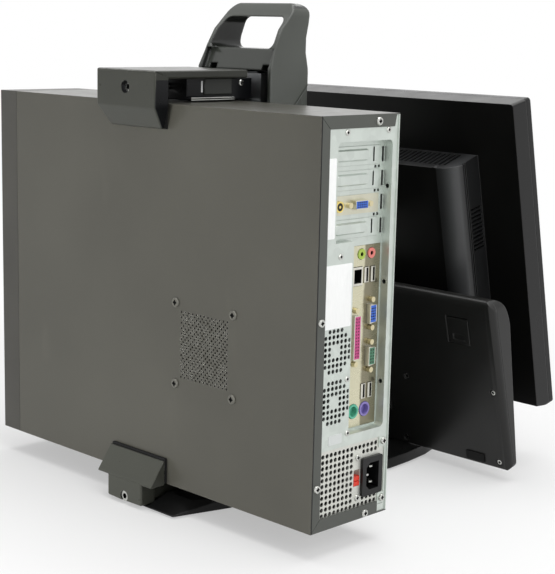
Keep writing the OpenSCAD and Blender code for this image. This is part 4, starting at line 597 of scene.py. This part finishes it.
def in_circle(finish, y, z, radius):
    """1 where the squared distance to (y, z) is under the squared radius."""
    place = finish.axes()
    across = place[1] - y
    along = place[2] - z
    return (across * across + along * along) < radius * radius


def in_pins(finish, y, z, half_y, half_z, row_pitch, pin_pitch, row_shift):
    """1 in round holes of 0.7 mm: the offset to the nearest row and pin is a wrapped distance."""
    place = finish.axes()
    across = place[1] - y + row_shift
    along = place[2] - z
    across = across.math("WRAP", across, row_pitch / 2, -row_pitch / 2)
    along = along.math("WRAP", along, pin_pitch / 2, -pin_pitch / 2)
    hole = (across * across + along * along) < 0.0007**2
    return hole * in_box(finish, y, z, half_y, half_z)


print("masks:", [mask.__name__ for mask in (in_box, in_circle, in_pins)])


# %% Recipe for a row of ports
def port_row(name, ground, amount, patches):
    """A ground colour and metal amount, then patches in order: shape, place, depths, colour and metal."""
    finish = Finish(name, specular_ior_level=0.3)
    cloud = finish.noise(120, 3)
    colour = finish.tint(cloud, shade(ground, 0.85), shade(ground, 1.1))
    metallic = amount
    for shape, place, depths, here, metal_here in patches:
        mask = shape(finish, *place) * finish.axes()[0].between(*depths)
        colour = finish.tint(mask, colour, finish.tint(cloud, shade(here, 0.85), shade(here, 1.1)))
        metallic = metallic + mask * (metal_here - metallic)
    finish.feed("Base Color", colour)
    finish.feed("Metallic", metallic)
    finish.feed("Roughness", 0.3 + cloud * 0.1)
    finish.relief(finish.noise(900, 2), 0.00004, 0.5)
    return finish


blue = paint(58, 102, 196)
teal_green = paint(92, 178, 150)
serial_green = paint(74, 122, 96)
magenta = paint(196, 74, 132)
purple = paint(134, 122, 186)
pink = paint(222, 128, 120)
lime = paint(166, 190, 84)
brass = paint(214, 204, 168)
gold = paint(232, 210, 128)
silver = paint(208, 206, 196)
# Painted shade for holes and for the insides of sockets and plugs.
hole_shade = paint(12, 12, 12)
print("port colours ready")

# %% [markdown]
# The D-shaped shells are plated, with a coloured block inside a bright rim and a hex screw at each end.

# %% The D-shaped ports and the card
all_through = (-1.0, 1.0)
d_face = (-1.0, -0.2150)


def d_patches(y, z, half, screw_at, colour, pins, depths):
    """The coloured block of one D-shaped port, its pin holes painted dark as shade, and the two hex screws
    beside it.
    """
    block = [(in_box, (y, z, 0.0034, half), depths, colour, 0.0)]
    holes = [(in_pins, (y, z, 0.0029, half - 0.0012, *pins), depths, hole_shade, 0.0)]
    ends = [(in_circle, (y, z + side * screw_at, 0.0026), all_through, brass, 0.9) for side in (-1, 1)]
    return block + holes + ends


three_rows = (0.00198, 0.00229, 0.0)
two_rows = (0.00284, 0.00277, 0.00142)
d_ports = port_row("d_ports", silver, 0.9, [
    *d_patches(0.0601, 0.2041, 0.0074, 0.0123, blue, three_rows, d_face),
    *d_patches(0.0601, 0.1669, 0.0074, 0.0123, serial_green, two_rows, d_face),
    *d_patches(0.0799, 0.1854, 0.0184, 0.0233, magenta, two_rows, d_face),
])
card_z = 0.2997
card_face = (-1.0, -0.2168)
over_plate = (-1.0, -0.2121)
plug_face = (-1.0, -0.2170)
card = port_row("card", paint(206, 204, 186), 0.8, [
    (in_box, (0.0809, card_z, 0.0072, 0.0030), card_face, blue, 0.0),
    (in_pins, (0.0809, card_z, 0.0060, 0.0026, 0.00229, 0.00198, 0.0), card_face, hole_shade, 0.0),
    *[(in_circle, (y, card_z, 0.0026), over_plate, brass, 0.9) for y in (0.0681, 0.0937)],
    (in_circle, (0.1090, card_z, 0.0049), over_plate, gold, 0.9),
    # The inside of the round plug is painted dark as shade.
    (in_circle, (0.1090, card_z, 0.0034), plug_face, hole_shade, 0.0),
    (in_circle, (0.1090, card_z, 0.0012), plug_face, gold, 0.9),
])
print("D-shaped ports and card ready")

# %% [markdown]
# The round ports are coloured plastic, with holes painted dark as shade. The USB and network sockets are
# bright metal boxes whose insides are painted dark as shade, beginning half a millimetre behind the rim. The
# mains inlet's pins are plated.

# %% The round ports, sockets and mains inlet
round_patches = []
for y, colour in ((0.0633, purple), (0.0780, teal_green)):
    round_patches.append((in_circle, (y, 0.1197, 0.0064), (-1.0, -0.2060), colour, 0.0))
    round_patches.append((in_circle, (y, 0.1197, 0.0016), (-0.2085, -0.2060), hole_shade, 0.0))
for y, colour in ((0.0606, pink), (0.0732, lime)):
    round_patches.append((in_circle, (y, 0.2565, 0.0046), (-1.0, -0.2085), colour, 0.0))
    round_patches.append((in_circle, (y, 0.2565, 0.0020), (-0.2112, 1.0), hole_shade, 0.0))
round_row = port_row("round_row", paint(40, 40, 40), 0.0, round_patches)
behind_rim = (-0.2113, 1.0)
usb_row = port_row("usb_row", paint(214, 212, 202), 0.9, [
    (in_box, (0.0700, 0.1850, 0.0400, 0.1000), behind_rim, hole_shade, 0.0),
])
inlet_pins = [(0.0590, 0.0686), (0.0590, 0.0546), (0.0640, 0.0616)]
pin_depths = (-0.2145, -0.2085)
inlet = port_row("inlet", paint(16, 16, 17), 0.0, [
    (in_circle, (y, z, 0.0024), pin_depths, silver, 0.9) for y, z in inlet_pins
])
print("port finishes:", [f.material.name for f in (d_ports, card, round_row, usb_row, inlet)])

# %% [markdown]
# ## Dressing the CAD nodes
#
# Each CAD node keeps its solid and takes one finish. A node's mesh is never touched: only its material
# slot changes. One table of names is easier to check than a line of code for each node.

# %% Finish of each node
finish_nodes = [
    (stand_plastic, "foot_plate", "pc_backrest", "keyboard_cradle"),
    (rubber, "rubber_pads", "top_jaw_pad", "bottom_jaw_pad", "keyboard_rubber_feet"),
    (shell_plastic, "column_rear_shell", "column_front_shell"),
    (handle_plastic, "carry_handle"),
    (arm_paint, "top_arm"),
    (jaw_paint, "top_jaw"),
    (low_jaw_paint, "bottom_jaw"),
    (clamp_steel, "top_clamp_screw", "bottom_clamp_screw"),
    (head_paint, "lift_carriage", "tilt_head"),
    (aluminium, "column_spine", "cpu_heatsink"),
    (steel, "lift_spring", "plate_screws", "pc_screws", "hard_drive", "keyboard_screws"),
    (monitor_plastic, "monitor_back_cover"),
    (rim_plastic, "monitor_front_bezel"),
    (screen, "display_panel"),
    (boards, "monitor_boards", "motherboard"),
    (case_paint, "pc_cover"),
    (zinc_sheet, "pc_chassis", "pc_rear_panel", "slot_covers"),
    (bezel_plastic, "pc_front_bezel", "optical_drive", "disc_tray", "eject_button"),
    (button_plastic, "power_button"),
    (card, "expansion_card"),
    (shield_sheet, "port_shield"),
    (d_ports, "d_shaped_ports"),
    (usb_row, "usb_network_ports"),
    (round_row, "round_ports"),
    (supply_sheet, "psu_case"),
    (inlet, "psu_inlet"),
    (red_plastic, "voltage_selector"),
    (fan_plastic, "fan_frames", "psu_fan", "upper_rear_fan", "lower_rear_fan", "cpu_fan"),
    (duct_plastic, "air_duct"),
    (keyboard_plastic, "keyboard_bottom_case", "keyboard_top_case", "left_flip_foot", "right_flip_foot"),
    (key_plastic, "keycaps", "space_bar", "monitor_power_button", "monitor_menu_button"),
]
node_finish = {name: finish for finish, *names in finish_nodes for name in names}
for name, finish in node_finish.items():
    for place in frame["nodes"][name].material_slots:
        place.material = finish.material
print("dressed", len(node_finish), "of", len(frame["nodes"]))

# %% [markdown]
# ## Rounding the mould edges
#
# A CAD solid has knife edges, and a real mould or casting hasn't: it is the thin bright line on a
# rounded edge that makes a shape look solid. A copy of the node's skin has its loose triangles joined,
# its flat triangles merged into whole faces, and its long sharp edges marked for a Bevel modifier. A
# Weighted Normal modifier then lets the large faces set the shading, so flat faces stay flat.
#
# The modifier may narrow every edge of a piece to the room at its tightest corner. Where that would undo
# the rounding, the piece is loose: each edge keeps the width that fits beside it.

# %% Widths of the rounding
rounded = {
    "carry_handle": 0.0026, "top_jaw": 0.0018, "bottom_jaw": 0.002, "top_arm": 0.0008,
    "foot_plate": 0.0015, "column_rear_shell": 0.0008, "column_front_shell": 0.0008,
    "monitor_back_cover": 0.0016, "monitor_front_bezel": 0.0014, "pc_front_bezel": 0.0015,
    "left_flip_foot": 0.0006, "right_flip_foot": 0.0006, "power_button": 0.0006,
    "pc_backrest": 0.001, "keycaps": 0.0007, "space_bar": 0.0007, "keyboard_cradle": 0.0008,
    "pc_cover": 0.0012, "keyboard_bottom_case": 0.0006, "keyboard_top_case": 0.0012,
}
fine_edges = ("carry_handle", "top_jaw", "bottom_jaw", "keyboard_top_case")
loose_edges = ("top_jaw", "bottom_jaw", "keyboard_bottom_case", "left_flip_foot", "right_flip_foot")
shortest_edge = {"pc_cover": 0.012, "monitor_back_cover": 0.06, "carry_handle": 0.004}
usual_shortest = 0.003
flat_angle = math.radians(0.6)
sharp_angle = math.radians(32)
side_share = 0.45
along_cosine = 0.8
print("pieces to round:", len(rounded))


# %% Rounded copies
def room_beside(edge, width):
    """The width that fits beside an edge: under half of every edge that leaves its ends at an angle."""
    way = (edge.verts[1].co - edge.verts[0].co).normalized()
    room = width
    for corner in edge.link_loops:
        for side in (corner.link_loop_prev.edge, corner.link_loop_next.edge):
            side_way = (side.verts[1].co - side.verts[0].co).normalized()
            if abs(way.dot(side_way)) < along_cosine:
                room = min(room, side_share * side.calc_length())
    return room


def rounded_copy(node, width):
    """A copy of a node whose long, sharp edges are rounded to a width, or to the room beside them."""
    source = frame["nodes"][node]
    work = bmesh.new()
    work.from_mesh(source.data)
    bmesh.ops.remove_doubles(work, verts=work.verts, dist=2e-6)
    bmesh.ops.dissolve_limit(work, angle_limit=flat_angle, verts=work.verts, edges=work.edges)
    weight = work.edges.layers.float.new("bevel_weight_edge")
    shortest = shortest_edge.get(node, usual_shortest)
    chosen = [e for e in work.edges if len(e.link_faces) == 2 and e.calc_length() > shortest]
    chosen = [e for e in chosen if e.calc_face_angle(0) > sharp_angle]
    for edge in chosen:
        edge[weight] = room_beside(edge, width) / width
    skin = bpy.data.meshes.new(node + "_rounded")
    work.to_mesh(skin)
    work.free()
    skin.polygons.foreach_set("use_smooth", np.ones(len(skin.polygons), dtype=bool))
    skin.set_sharp_from_angle(angle=sharp_angle)
    skin.materials.clear()
    skin.materials.append(node_finish[node].material)
    piece = bpy.data.objects.new(node + "_rounded", skin)
    bpy.context.scene.collection.objects.link(piece)
    bevel = piece.modifiers.new("round", "BEVEL")
    bevel.limit_method = "WEIGHT"
    bevel.width = width
    bevel.segments = 3 if node in fine_edges else 2
    bevel.use_clamp_overlap = node not in loose_edges
    even = piece.modifiers.new("even", "WEIGHTED_NORMAL")
    even.mode = "FACE_AREA"
    even.keep_sharp = True
    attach(piece, source["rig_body"])
    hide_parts(node)
    return piece


rounded_pieces = {name: rounded_copy(name, width) for name, width in rounded.items()}
for name, piece in rounded_pieces.items():
    print(name, len(piece.data.polygons), "faces before rounding")

# %% [markdown]
# The monitor's back is matt, but its rim and the sides of its hump are smoother and catch the light, and
# the round of the hump is painted paler as a sheen. The finishes meet at edges, so they are given out face
# by face, by the way a face looks in the tilted monitor: straight back is matt and straight up is the
# polished top. The hump is what stands further out than the back does.

# %% Matt back, smooth sides
back_skin = rounded_pieces["monitor_back_cover"].data
for finish in (rim_plastic, top_plastic, hump_sheen_plastic):
    back_skin.materials.append(finish.material)
ways = np.zeros(len(back_skin.polygons) * 3)
back_skin.polygons.foreach_get("normal", ways)
middles = np.zeros(len(back_skin.polygons) * 3)
back_skin.polygons.foreach_get("center", middles)
monitor_lean = math.radians(12.6)
back_way = np.array([0.0, math.cos(monitor_lean), -math.sin(monitor_lean)])
up_way = np.array([0.0, math.sin(monitor_lean), math.cos(monitor_lean)])
straight_back = ways.reshape(-1, 3) @ back_way
straight_up = ways.reshape(-1, 3) @ up_way
stands_out = middles.reshape(-1, 3) @ back_way
hump_height = 0.039
on_hump = stands_out > stands_out.max() - hump_height
kinds = np.where(on_hump, 3, np.where(straight_up > 0.5, 2, 1))
matt_limit = np.where(on_hump, 0.995, 0.93)
kinds = np.where(straight_back > matt_limit, 0, kinds).astype(np.int32)
back_skin.polygons.foreach_set("material_index", kinds)
print("matt, rim, top and hump faces:", np.bincount(kinds).tolist())

# %% [markdown]
# ## Surfaces from arrays
#
# Screw heads, rivets, labels and slot blanks are all surfaces over a grid: numpy works out every point at
# once, and neighbours in the grid share a face. A ring of points that meets itself is wrapped round, and
# a row whose points all coincide closes the surface, once its doubles are merged.


# %% Grid surfaces
def grid_piece(name, points, wrap, finishes, kind=None, keep=None, body="stand"):
    """A mesh from points of shape copies x rows x columns x 3; `kind` picks a finish for each row."""
    copies, rows, columns = points.shape[:3]
    index = np.arange(copies * rows * columns).reshape(copies, rows, columns)
    here = index if wrap else index[:, :, :-1]
    after = np.roll(index, -1, axis=2) if wrap else index[:, :, 1:]
    quads = np.stack([here[:, :-1], after[:, :-1], after[:, 1:], here[:, 1:]], axis=-1)
    kinds = np.zeros(quads.shape[:3], dtype=np.int32)
    if kind is not None:
        kinds += np.array(kind, dtype=np.int32)[None, :, None]
    chosen = np.ones(quads.shape[:3], dtype=bool) if keep is None else keep
    skin = bpy.data.meshes.new(name)
    used, corners = np.unique(quads[chosen], return_inverse=True)
    skin.from_pydata(points.reshape(-1, 3)[used].tolist(), [], corners.reshape(-1, 4).tolist())
    for finish in finishes:
        skin.materials.append(finish.material)
    skin.polygons.foreach_set("material_index", kinds[chosen])
    skin.polygons.foreach_set("use_smooth", np.ones(len(skin.polygons), dtype=bool))
    work = bmesh.new()
    work.from_mesh(skin)
    bmesh.ops.remove_doubles(work, verts=work.verts, dist=1e-7)
    work.to_mesh(skin)
    work.free()
    skin.set_sharp_from_angle(angle=math.radians(35))
    piece = bpy.data.objects.new(name, skin)
    bpy.context.scene.collection.objects.link(piece)
    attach(piece, body)
    return piece


print("grid surfaces ready")


# %% Closed pads on a flat face
def stacked(places, across, along, outline, rows, crossed=None):
    """Points of closed pads on a flat face: row k is the outline scaled by rows[k][0], at height rows[k][1].

    A point is place + u across + v along + height out, with out = across x along. Where rows[k][2] is 1
    the crossed outline is used in place of the plain one.
    """
    size, height, cross = np.array(rows, dtype=float).T
    other = outline if crossed is None else crossed
    ring = outline[None] * (1 - cross)[:, None, None] + other[None] * cross[:, None, None]
    ring = ring * size[:, None, None]
    out = np.cross(across, along)
    local = ring[..., :1] * np.array(across) + ring[..., 1:] * np.array(along)
    local = local + height[:, None, None] * out
    return np.array(places, dtype=float)[:, None, None, :] + local[None]


X_WAY = (1.0, 0.0, 0.0)
Y_WAY = (0.0, 1.0, 0.0)
Z_WAY = (0.0, 0.0, 1.0)
turn = np.linspace(0, 2 * np.pi, 24, endpoint=False)
circle = np.stack([np.cos(turn), np.sin(turn)], axis=-1)
cross_cut = circle * (0.45 + 0.55 * np.cos(2 * turn) ** 2)[:, None]
print("ring of", len(turn), "points")

# %% [markdown]
# ## Screws and rivets
#
# Seen from a step away, a pan-head screw is a bright ring round a dark cross. The head's profile rises
# from its rim to a low dome, and the cross is a ring with four lobes, sunk into it and painted black as
# shade. The cover's screws are bright, and the four round the side vent are dark. Rivets are lower, with a
# sunk middle painted in the same shade.


# %% Screw heads
def screw_rows(radius, height, sunk):
    """Rows from the middle of the underside, up over the dome, to the bottom of the cross."""
    return [
        (0, 0, 0), (radius, 0, 0), (radius, height * 0.45, 0), (radius * 0.86, height * 0.92, 0),
        (radius * 0.7, height, 0), (radius * 0.58, height, 0.7), (radius * 0.48, height - sunk, 0.7),
        (0, height - sunk, 0),
    ]


def screws(name, places, ways, size, finish=steel, body="stand"):
    """Screw heads at places, with the cross painted black as shade: its last two rows are the pit.

    `ways` are the two directions across the head, and `size` is its radius, height and the cross's depth.
    """
    points = stacked(places, *ways, circle, screw_rows(*size), cross_cut)
    return grid_piece(name, points, True, [finish, pit_shade], [0] * 5 + [1] * 2, None, body)


print("recipe for screws ready")

# %% Screws of the computer
COVER_REAR = -0.221
COVER_SIDE = 0.138
rear_ways = (Z_WAY, Y_WAY)
side_ways = (Z_WAY, X_WAY)
cover_spots = [(68, 369), (132, 206), (132, 64), (70, 29)]
cover_places = [(COVER_REAR, y / 1000, z / 1000) for y, z in cover_spots]
supply_places = [(REAR_FACE, 0.047, 0.090), (REAR_FACE, 0.047, 0.038)]
vent_places = [(x, COVER_SIDE, z) for x in (-0.1235, -0.0485) for z in (0.123, 0.198)]
case_heads = [
    screws("cover_screws", cover_places, rear_ways, (0.0036, 0.002, 0.0014)),
    screws("supply_screws", supply_places, rear_ways, (0.0035, 0.002, 0.0014)),
    screws("vent_screws", vent_places, side_ways, (0.0045, 0.0018, 0.00126), dark_steel),
]
for heads in case_heads:
    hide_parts("pc_screws")
print("screw faces:", sum(len(heads.data.polygons) for heads in case_heads))


# %% Rivets and small screws of the rear panel
def rivet_rows(radius, height):
    """Rows of a rivet: a low rolled rim round a sunk middle."""
    return [
        (0, 0, 0), (radius, 0, 0), (radius * 0.95, height * 0.6, 0), (radius * 0.75, height, 0),
        (radius * 0.42, height * 0.9, 0), (radius * 0.3, height * 0.15, 0), (0, height * 0.15, 0),
    ]


SUPPLY_FACE = -0.219
panel_rivets = [(105.2, 360.8), (53.8, 361.4), (109.2, 258.8), (94.3, 105.6), (96.7, 153.3)]
rivet_places = [(REAR_FACE, y / 1000, z / 1000) for y, z in panel_rivets]
rivet_points = stacked(rivet_places, *rear_ways, circle, rivet_rows(0.0028, 0.0009))
# The last two rows, the sunk middle, take the painted pit shade.
rivet_kind = [0] * 4 + [1] * 2
rivets = grid_piece("panel_rivets", rivet_points, True, [steel, pit_shade], rivet_kind)
small_size = (0.003, 0.0014, 0.001)
small_places = [(SUPPLY_FACE, 0.0788, 0.0805), (SUPPLY_FACE, 0.0783, 0.0443)]
small_screws = screws("inlet_screws", small_places, rear_ways, small_size)
print("rivets", len(rivets.data.polygons), "small screws", len(small_screws.data.polygons))

# %% [markdown]
# ## Bare labels
#
# A strip beside the slots and a label below them are stuck on the rear panel. They are left bare: thin
# films with round corners, a fifth of a millimetre thick, whose edges catch the light.


# %% Films on the rear panel
def round_outline(half_u, half_v, corner):
    """A rectangle with round corners: each corner's centre plus a quarter circle of eight points."""
    quarter = np.linspace(0, np.pi / 2, 8)
    start = np.arange(4)[:, None] * np.pi / 2
    bow = np.stack([np.cos(start + quarter), np.sin(start + quarter)], axis=-1) * corner
    middle = np.array([[1, 1], [-1, 1], [-1, -1], [1, -1]]) * [half_u - corner, half_v - corner]
    return (middle[:, None, :] + bow).reshape(-1, 2)


def bare_film(name, low, high, face_x, finish=white_film, slot="zinc_sheet", body="stand"):
    """A film between two corners (y, z) in millimetres, stuck on the face at face_x."""
    low = np.array(low) / 1000
    high = np.array(high) / 1000
    half = (high - low) / 2
    middle = (high + low) / 2
    outline = round_outline(half[1], half[0], min(0.0012, half.min() * 0.5))
    rows = [(0, 0, 0), (1, 0, 0), (1, 0.00014, 0), (0.992, 0.0002, 0), (0, 0.0002, 0)]
    points = stacked([(face_x, *middle)], *rear_ways, outline, rows)
    return grid_piece(name, points, True, [finish], None, None, body)


slot_strip = bare_film("slot_strip", (117.5, 274.5), (127, 340.5), REAR_FACE)
panel_label = bare_film("panel_label", (94.5, 199), (127, 252.5), REAR_FACE)
small_label = bare_film("small_label", (101, 98.5), (118, 107), REAR_FACE, supply_film)
print("films:", slot_strip.name, panel_label.name, small_label.name)

# %% [markdown]
# The slider under the top jaw has a pale tag, two bright lines where its rails are worn, and a screw in
# its side. They ride on the arm, so they go up and down with it.

# %% Tag, rails and screw of the slider
ARM_SIDE = -0.026
RAIL_SIDE = -0.032
tag = bare_film("arm_tag", (88.6, 383.5), (90.4, 394), ARM_SIDE, white_film, "jaw_paint", "top_arm")
rail = (RAIL_SIDE, steel, "steel", "top_arm")
upper_rail = bare_film("upper_rail_line", (54, 378.6), (107.5, 379.3), *rail)
lower_rail = bare_film("lower_rail_line", (54, 376.8), (107.5, 377.5), *rail)
arm_screw = screws("arm_screw", [(ARM_SIDE, 0.0405, 0.3915)], rear_ways, small_size, body="top_arm")
print("slider details:", tag.name, upper_rail.name, lower_rail.name, arm_screw.name)

# %% [markdown]
# The keyboard leans, so its screws stand in its own frame: one way runs up its underside, X runs across
# it, and their cross product points out of it. The heads sit two millimetres deep in their holes.

# %% Screws of the keyboard
lean = math.radians(14.7)
board_up = np.array([0.0, math.sin(lean), math.cos(lean)])
board_out = np.array([0.0, math.cos(lean), -math.sin(lean)])
board_edge = np.array([0.0, -0.168, 0.01156])
spots = np.array([(86, 82), (196, 86), (74, 8), (194, 8)]) / 1000
spots = np.concatenate([spots, spots * [-1, 1]])
board_places = board_edge + spots[:, :1] * X_WAY + spots[:, 1:] * board_up - 0.002 * board_out
board_size = (0.003, 0.0015, 0.0011)
board_ways = (board_up, X_WAY)
board_heads = screws("keyboard_heads", board_places, board_ways, board_size, steel, "keyboard")
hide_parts("keyboard_screws")
print("keyboard screws:", len(board_places))

# %% [markdown]
# ## Pins of the mains inlet
#
# Three flat pins stand in the inlet's well. Each is a rounded blade: its outline, four by two
# millimetres, is carried out along -X and closed with a slightly smaller row.

# %% Mains pins
blade = round_outline(0.001, 0.002, 0.0004)
blade_rows = [(0, 0, 0), (1, 0, 0), (1, 0.0105, 0), (0.75, 0.0112, 0), (0, 0.0112, 0)]
well_floor = -0.207
pin_places = [(well_floor, y, z) for y, z in inlet_pins]
pin_points = stacked(pin_places, *rear_ways, blade, blade_rows)
mains_pins = grid_piece("mains_pins", pin_points, True, [steel])
print("mains pins:", len(mains_pins.data.polygons), "faces")

# %% [markdown]
# ## Slot blanks
#
# Each unused slot is closed by a pressed blank: a long raised panel with round ends and sloping sides,
# and a slit beside it. The panel's height follows the signed distance to a rounded rectangle, so its
# sides slope evenly all round. Faces inside the slit are left out, and Solidify gives the sheet its
# thickness.


# %% Pressed blanks
def pressed_blanks(middles):
    """X = face - rise S(d), where d is the depth inside a rounded rectangle and S a smooth step."""
    face, rise, slope = -0.2120, 0.0024, 0.0015
    middle_y, middle_z, half_y, half_z, radius = 0.0905, 0.0006, 0.0215, 0.0052, 0.0044
    y = np.linspace(0.1148, 0.0549, 121)[None, :]
    z = np.linspace(-0.008, 0.008, 41)[:, None]
    out_y = np.abs(y - middle_y) - (half_y - radius)
    out_z = np.abs(z - middle_z) - (half_z - radius)
    corner = np.hypot(np.maximum(out_y, 0), np.maximum(out_z, 0))
    depth = radius - corner - np.minimum(np.maximum(out_y, out_z), 0)
    step = np.clip(depth / slope, 0, 1)
    x = face - rise * step * step * (3 - 2 * step)
    flat = np.stack(np.broadcast_arrays(x, y, z), axis=-1)
    shift = np.zeros((len(middles), 1, 1, 3))
    shift[..., 2] = np.array(middles)[:, None, None]
    points = flat[None] + shift
    centre = (flat[:-1, :-1] + flat[1:, 1:]) / 2
    slit = (np.abs(centre[..., 1] - 0.0622) < 0.0010) & (np.abs(centre[..., 2] - 0.0007) < 0.0062)
    keep = np.repeat(~slit[None], len(middles), axis=0)
    piece = grid_piece("slot_blanks", points, False, [zinc_sheet], None, keep)
    sheet = piece.modifiers.new("sheet", "SOLIDIFY")
    sheet.thickness = 0.0008
    sheet.offset = -1
    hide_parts("slot_covers")
    return piece


blanks = pressed_blanks([0.2794, 0.3200, 0.3403])
print("slot blanks:", len(blanks.data.polygons), "faces")

# %% [markdown]
# ## Floor and light
#
# A pale floor and a large soft light overhead light the object at a plain level, with weak fill from the
# sides. Near the object the floor shows its shadow, and further out it fades to white. A low strip stands
# for the light that a white floor throws up at the cover, so it isn't seen in mirrors. The camera, and
# rays that mirror or pass through, see white where nothing stands.

# %% Floor
floor_skin = bpy.data.meshes.new("floor")
floor_skin.from_pydata([(-6, -6, 0), (6, -6, 0), (6, 6, 0), (-6, 6, 0)], [], [(0, 1, 2, 3)])
floor = bpy.data.objects.new("floor", floor_skin)
bpy.context.scene.collection.objects.link(floor)
floor_finish = Finish("floor", base_color=(0.9, 0.9, 0.9, 1), roughness=0.9)
ray = floor_finish.node("ShaderNodeLightPath", out="Is Camera Ray")
mirror = floor_finish.node("ShaderNodeLightPath", out="Is Glossy Ray")
glow = floor_finish.node("ShaderNodeEmission", None, {"Color": (1, 1, 1, 1), "Strength": 1.0})
plain = Wire(floor_finish, floor_finish.shader.outputs[0])
floor_x, floor_y, _ = floor_finish.axes()
far = (floor_x * floor_x + floor_y * floor_y).ease(0.1, 1.0)
near_white = 0.4
share = (ray + mirror) * (near_white + far * (1 - near_white))
mixed = floor_finish.node("ShaderNodeMixShader", None, {0: share, 1: plain, 2: glow})
floor_finish.plug(floor_finish.tree.nodes["Material Output"].inputs["Surface"], mixed)
floor_skin.materials.append(floor_finish.material)
print("floor laid")


# %% Lights and background
def soft_light(name, place, target, size, power, tall=None):
    """An area light at `place` that faces `target`, square unless it is given a height."""
    lamp = bpy.data.lights.new(name, "AREA")
    lamp.shape = "RECTANGLE"
    lamp.size = size
    lamp.size_y = size if tall is None else tall
    lamp.energy = power
    holder = bpy.data.objects.new(name, lamp)
    bpy.context.scene.collection.objects.link(holder)
    way = np.array(target) - np.array(place)
    holder.matrix_world = camera_matrix(np.array(place), way.astype(float), 0.0).T.tolist()
    return holder


soft_light("overhead", (-0.1, -0.2, 2.2), (-0.1, -0.199, 0.2), 2.2, 40)
soft_light("camera_side", (-0.9, 2.2, 0.4), (0.0, 0.0, 0.1), 1.4, 2)
soft_light("rear_side", (-2.0, 0.3, 1.2), (0.0, 0.0, 0.2), 2.0, 23.5)
soft_light("far_side", (1.7, -1.6, 1.5), (0.0, -0.1, 0.35), 1.6, 5)
low_fill = soft_light("low_fill", (0.0, 1.15, 0.1), (0.0, 0.14, 0.1), 0.4, 9.5, 0.12)
low_fill.visible_glossy = False
world = bpy.data.worlds.new("studio")
bpy.context.scene.world = world
world.use_nodes = True
sky = Network(world.node_tree)
seen = sky.node("ShaderNodeLightPath", out="Is Camera Ray")
for kind in ("Is Glossy Ray", "Is Transmission Ray"):
    seen = seen.math("MAXIMUM", seen, sky.node("ShaderNodeLightPath", out=kind))
fill_level = 0.23
backdrop = sky.tree.nodes["Background"]
sky.plug(backdrop.inputs["Color"], (1, 1, 1, 1))
sky.plug(backdrop.inputs["Strength"], fill_level + seen * (1 - fill_level))
bpy.context.scene.view_settings.view_transform = "Standard"
print("lights:", len(bpy.data.lights))
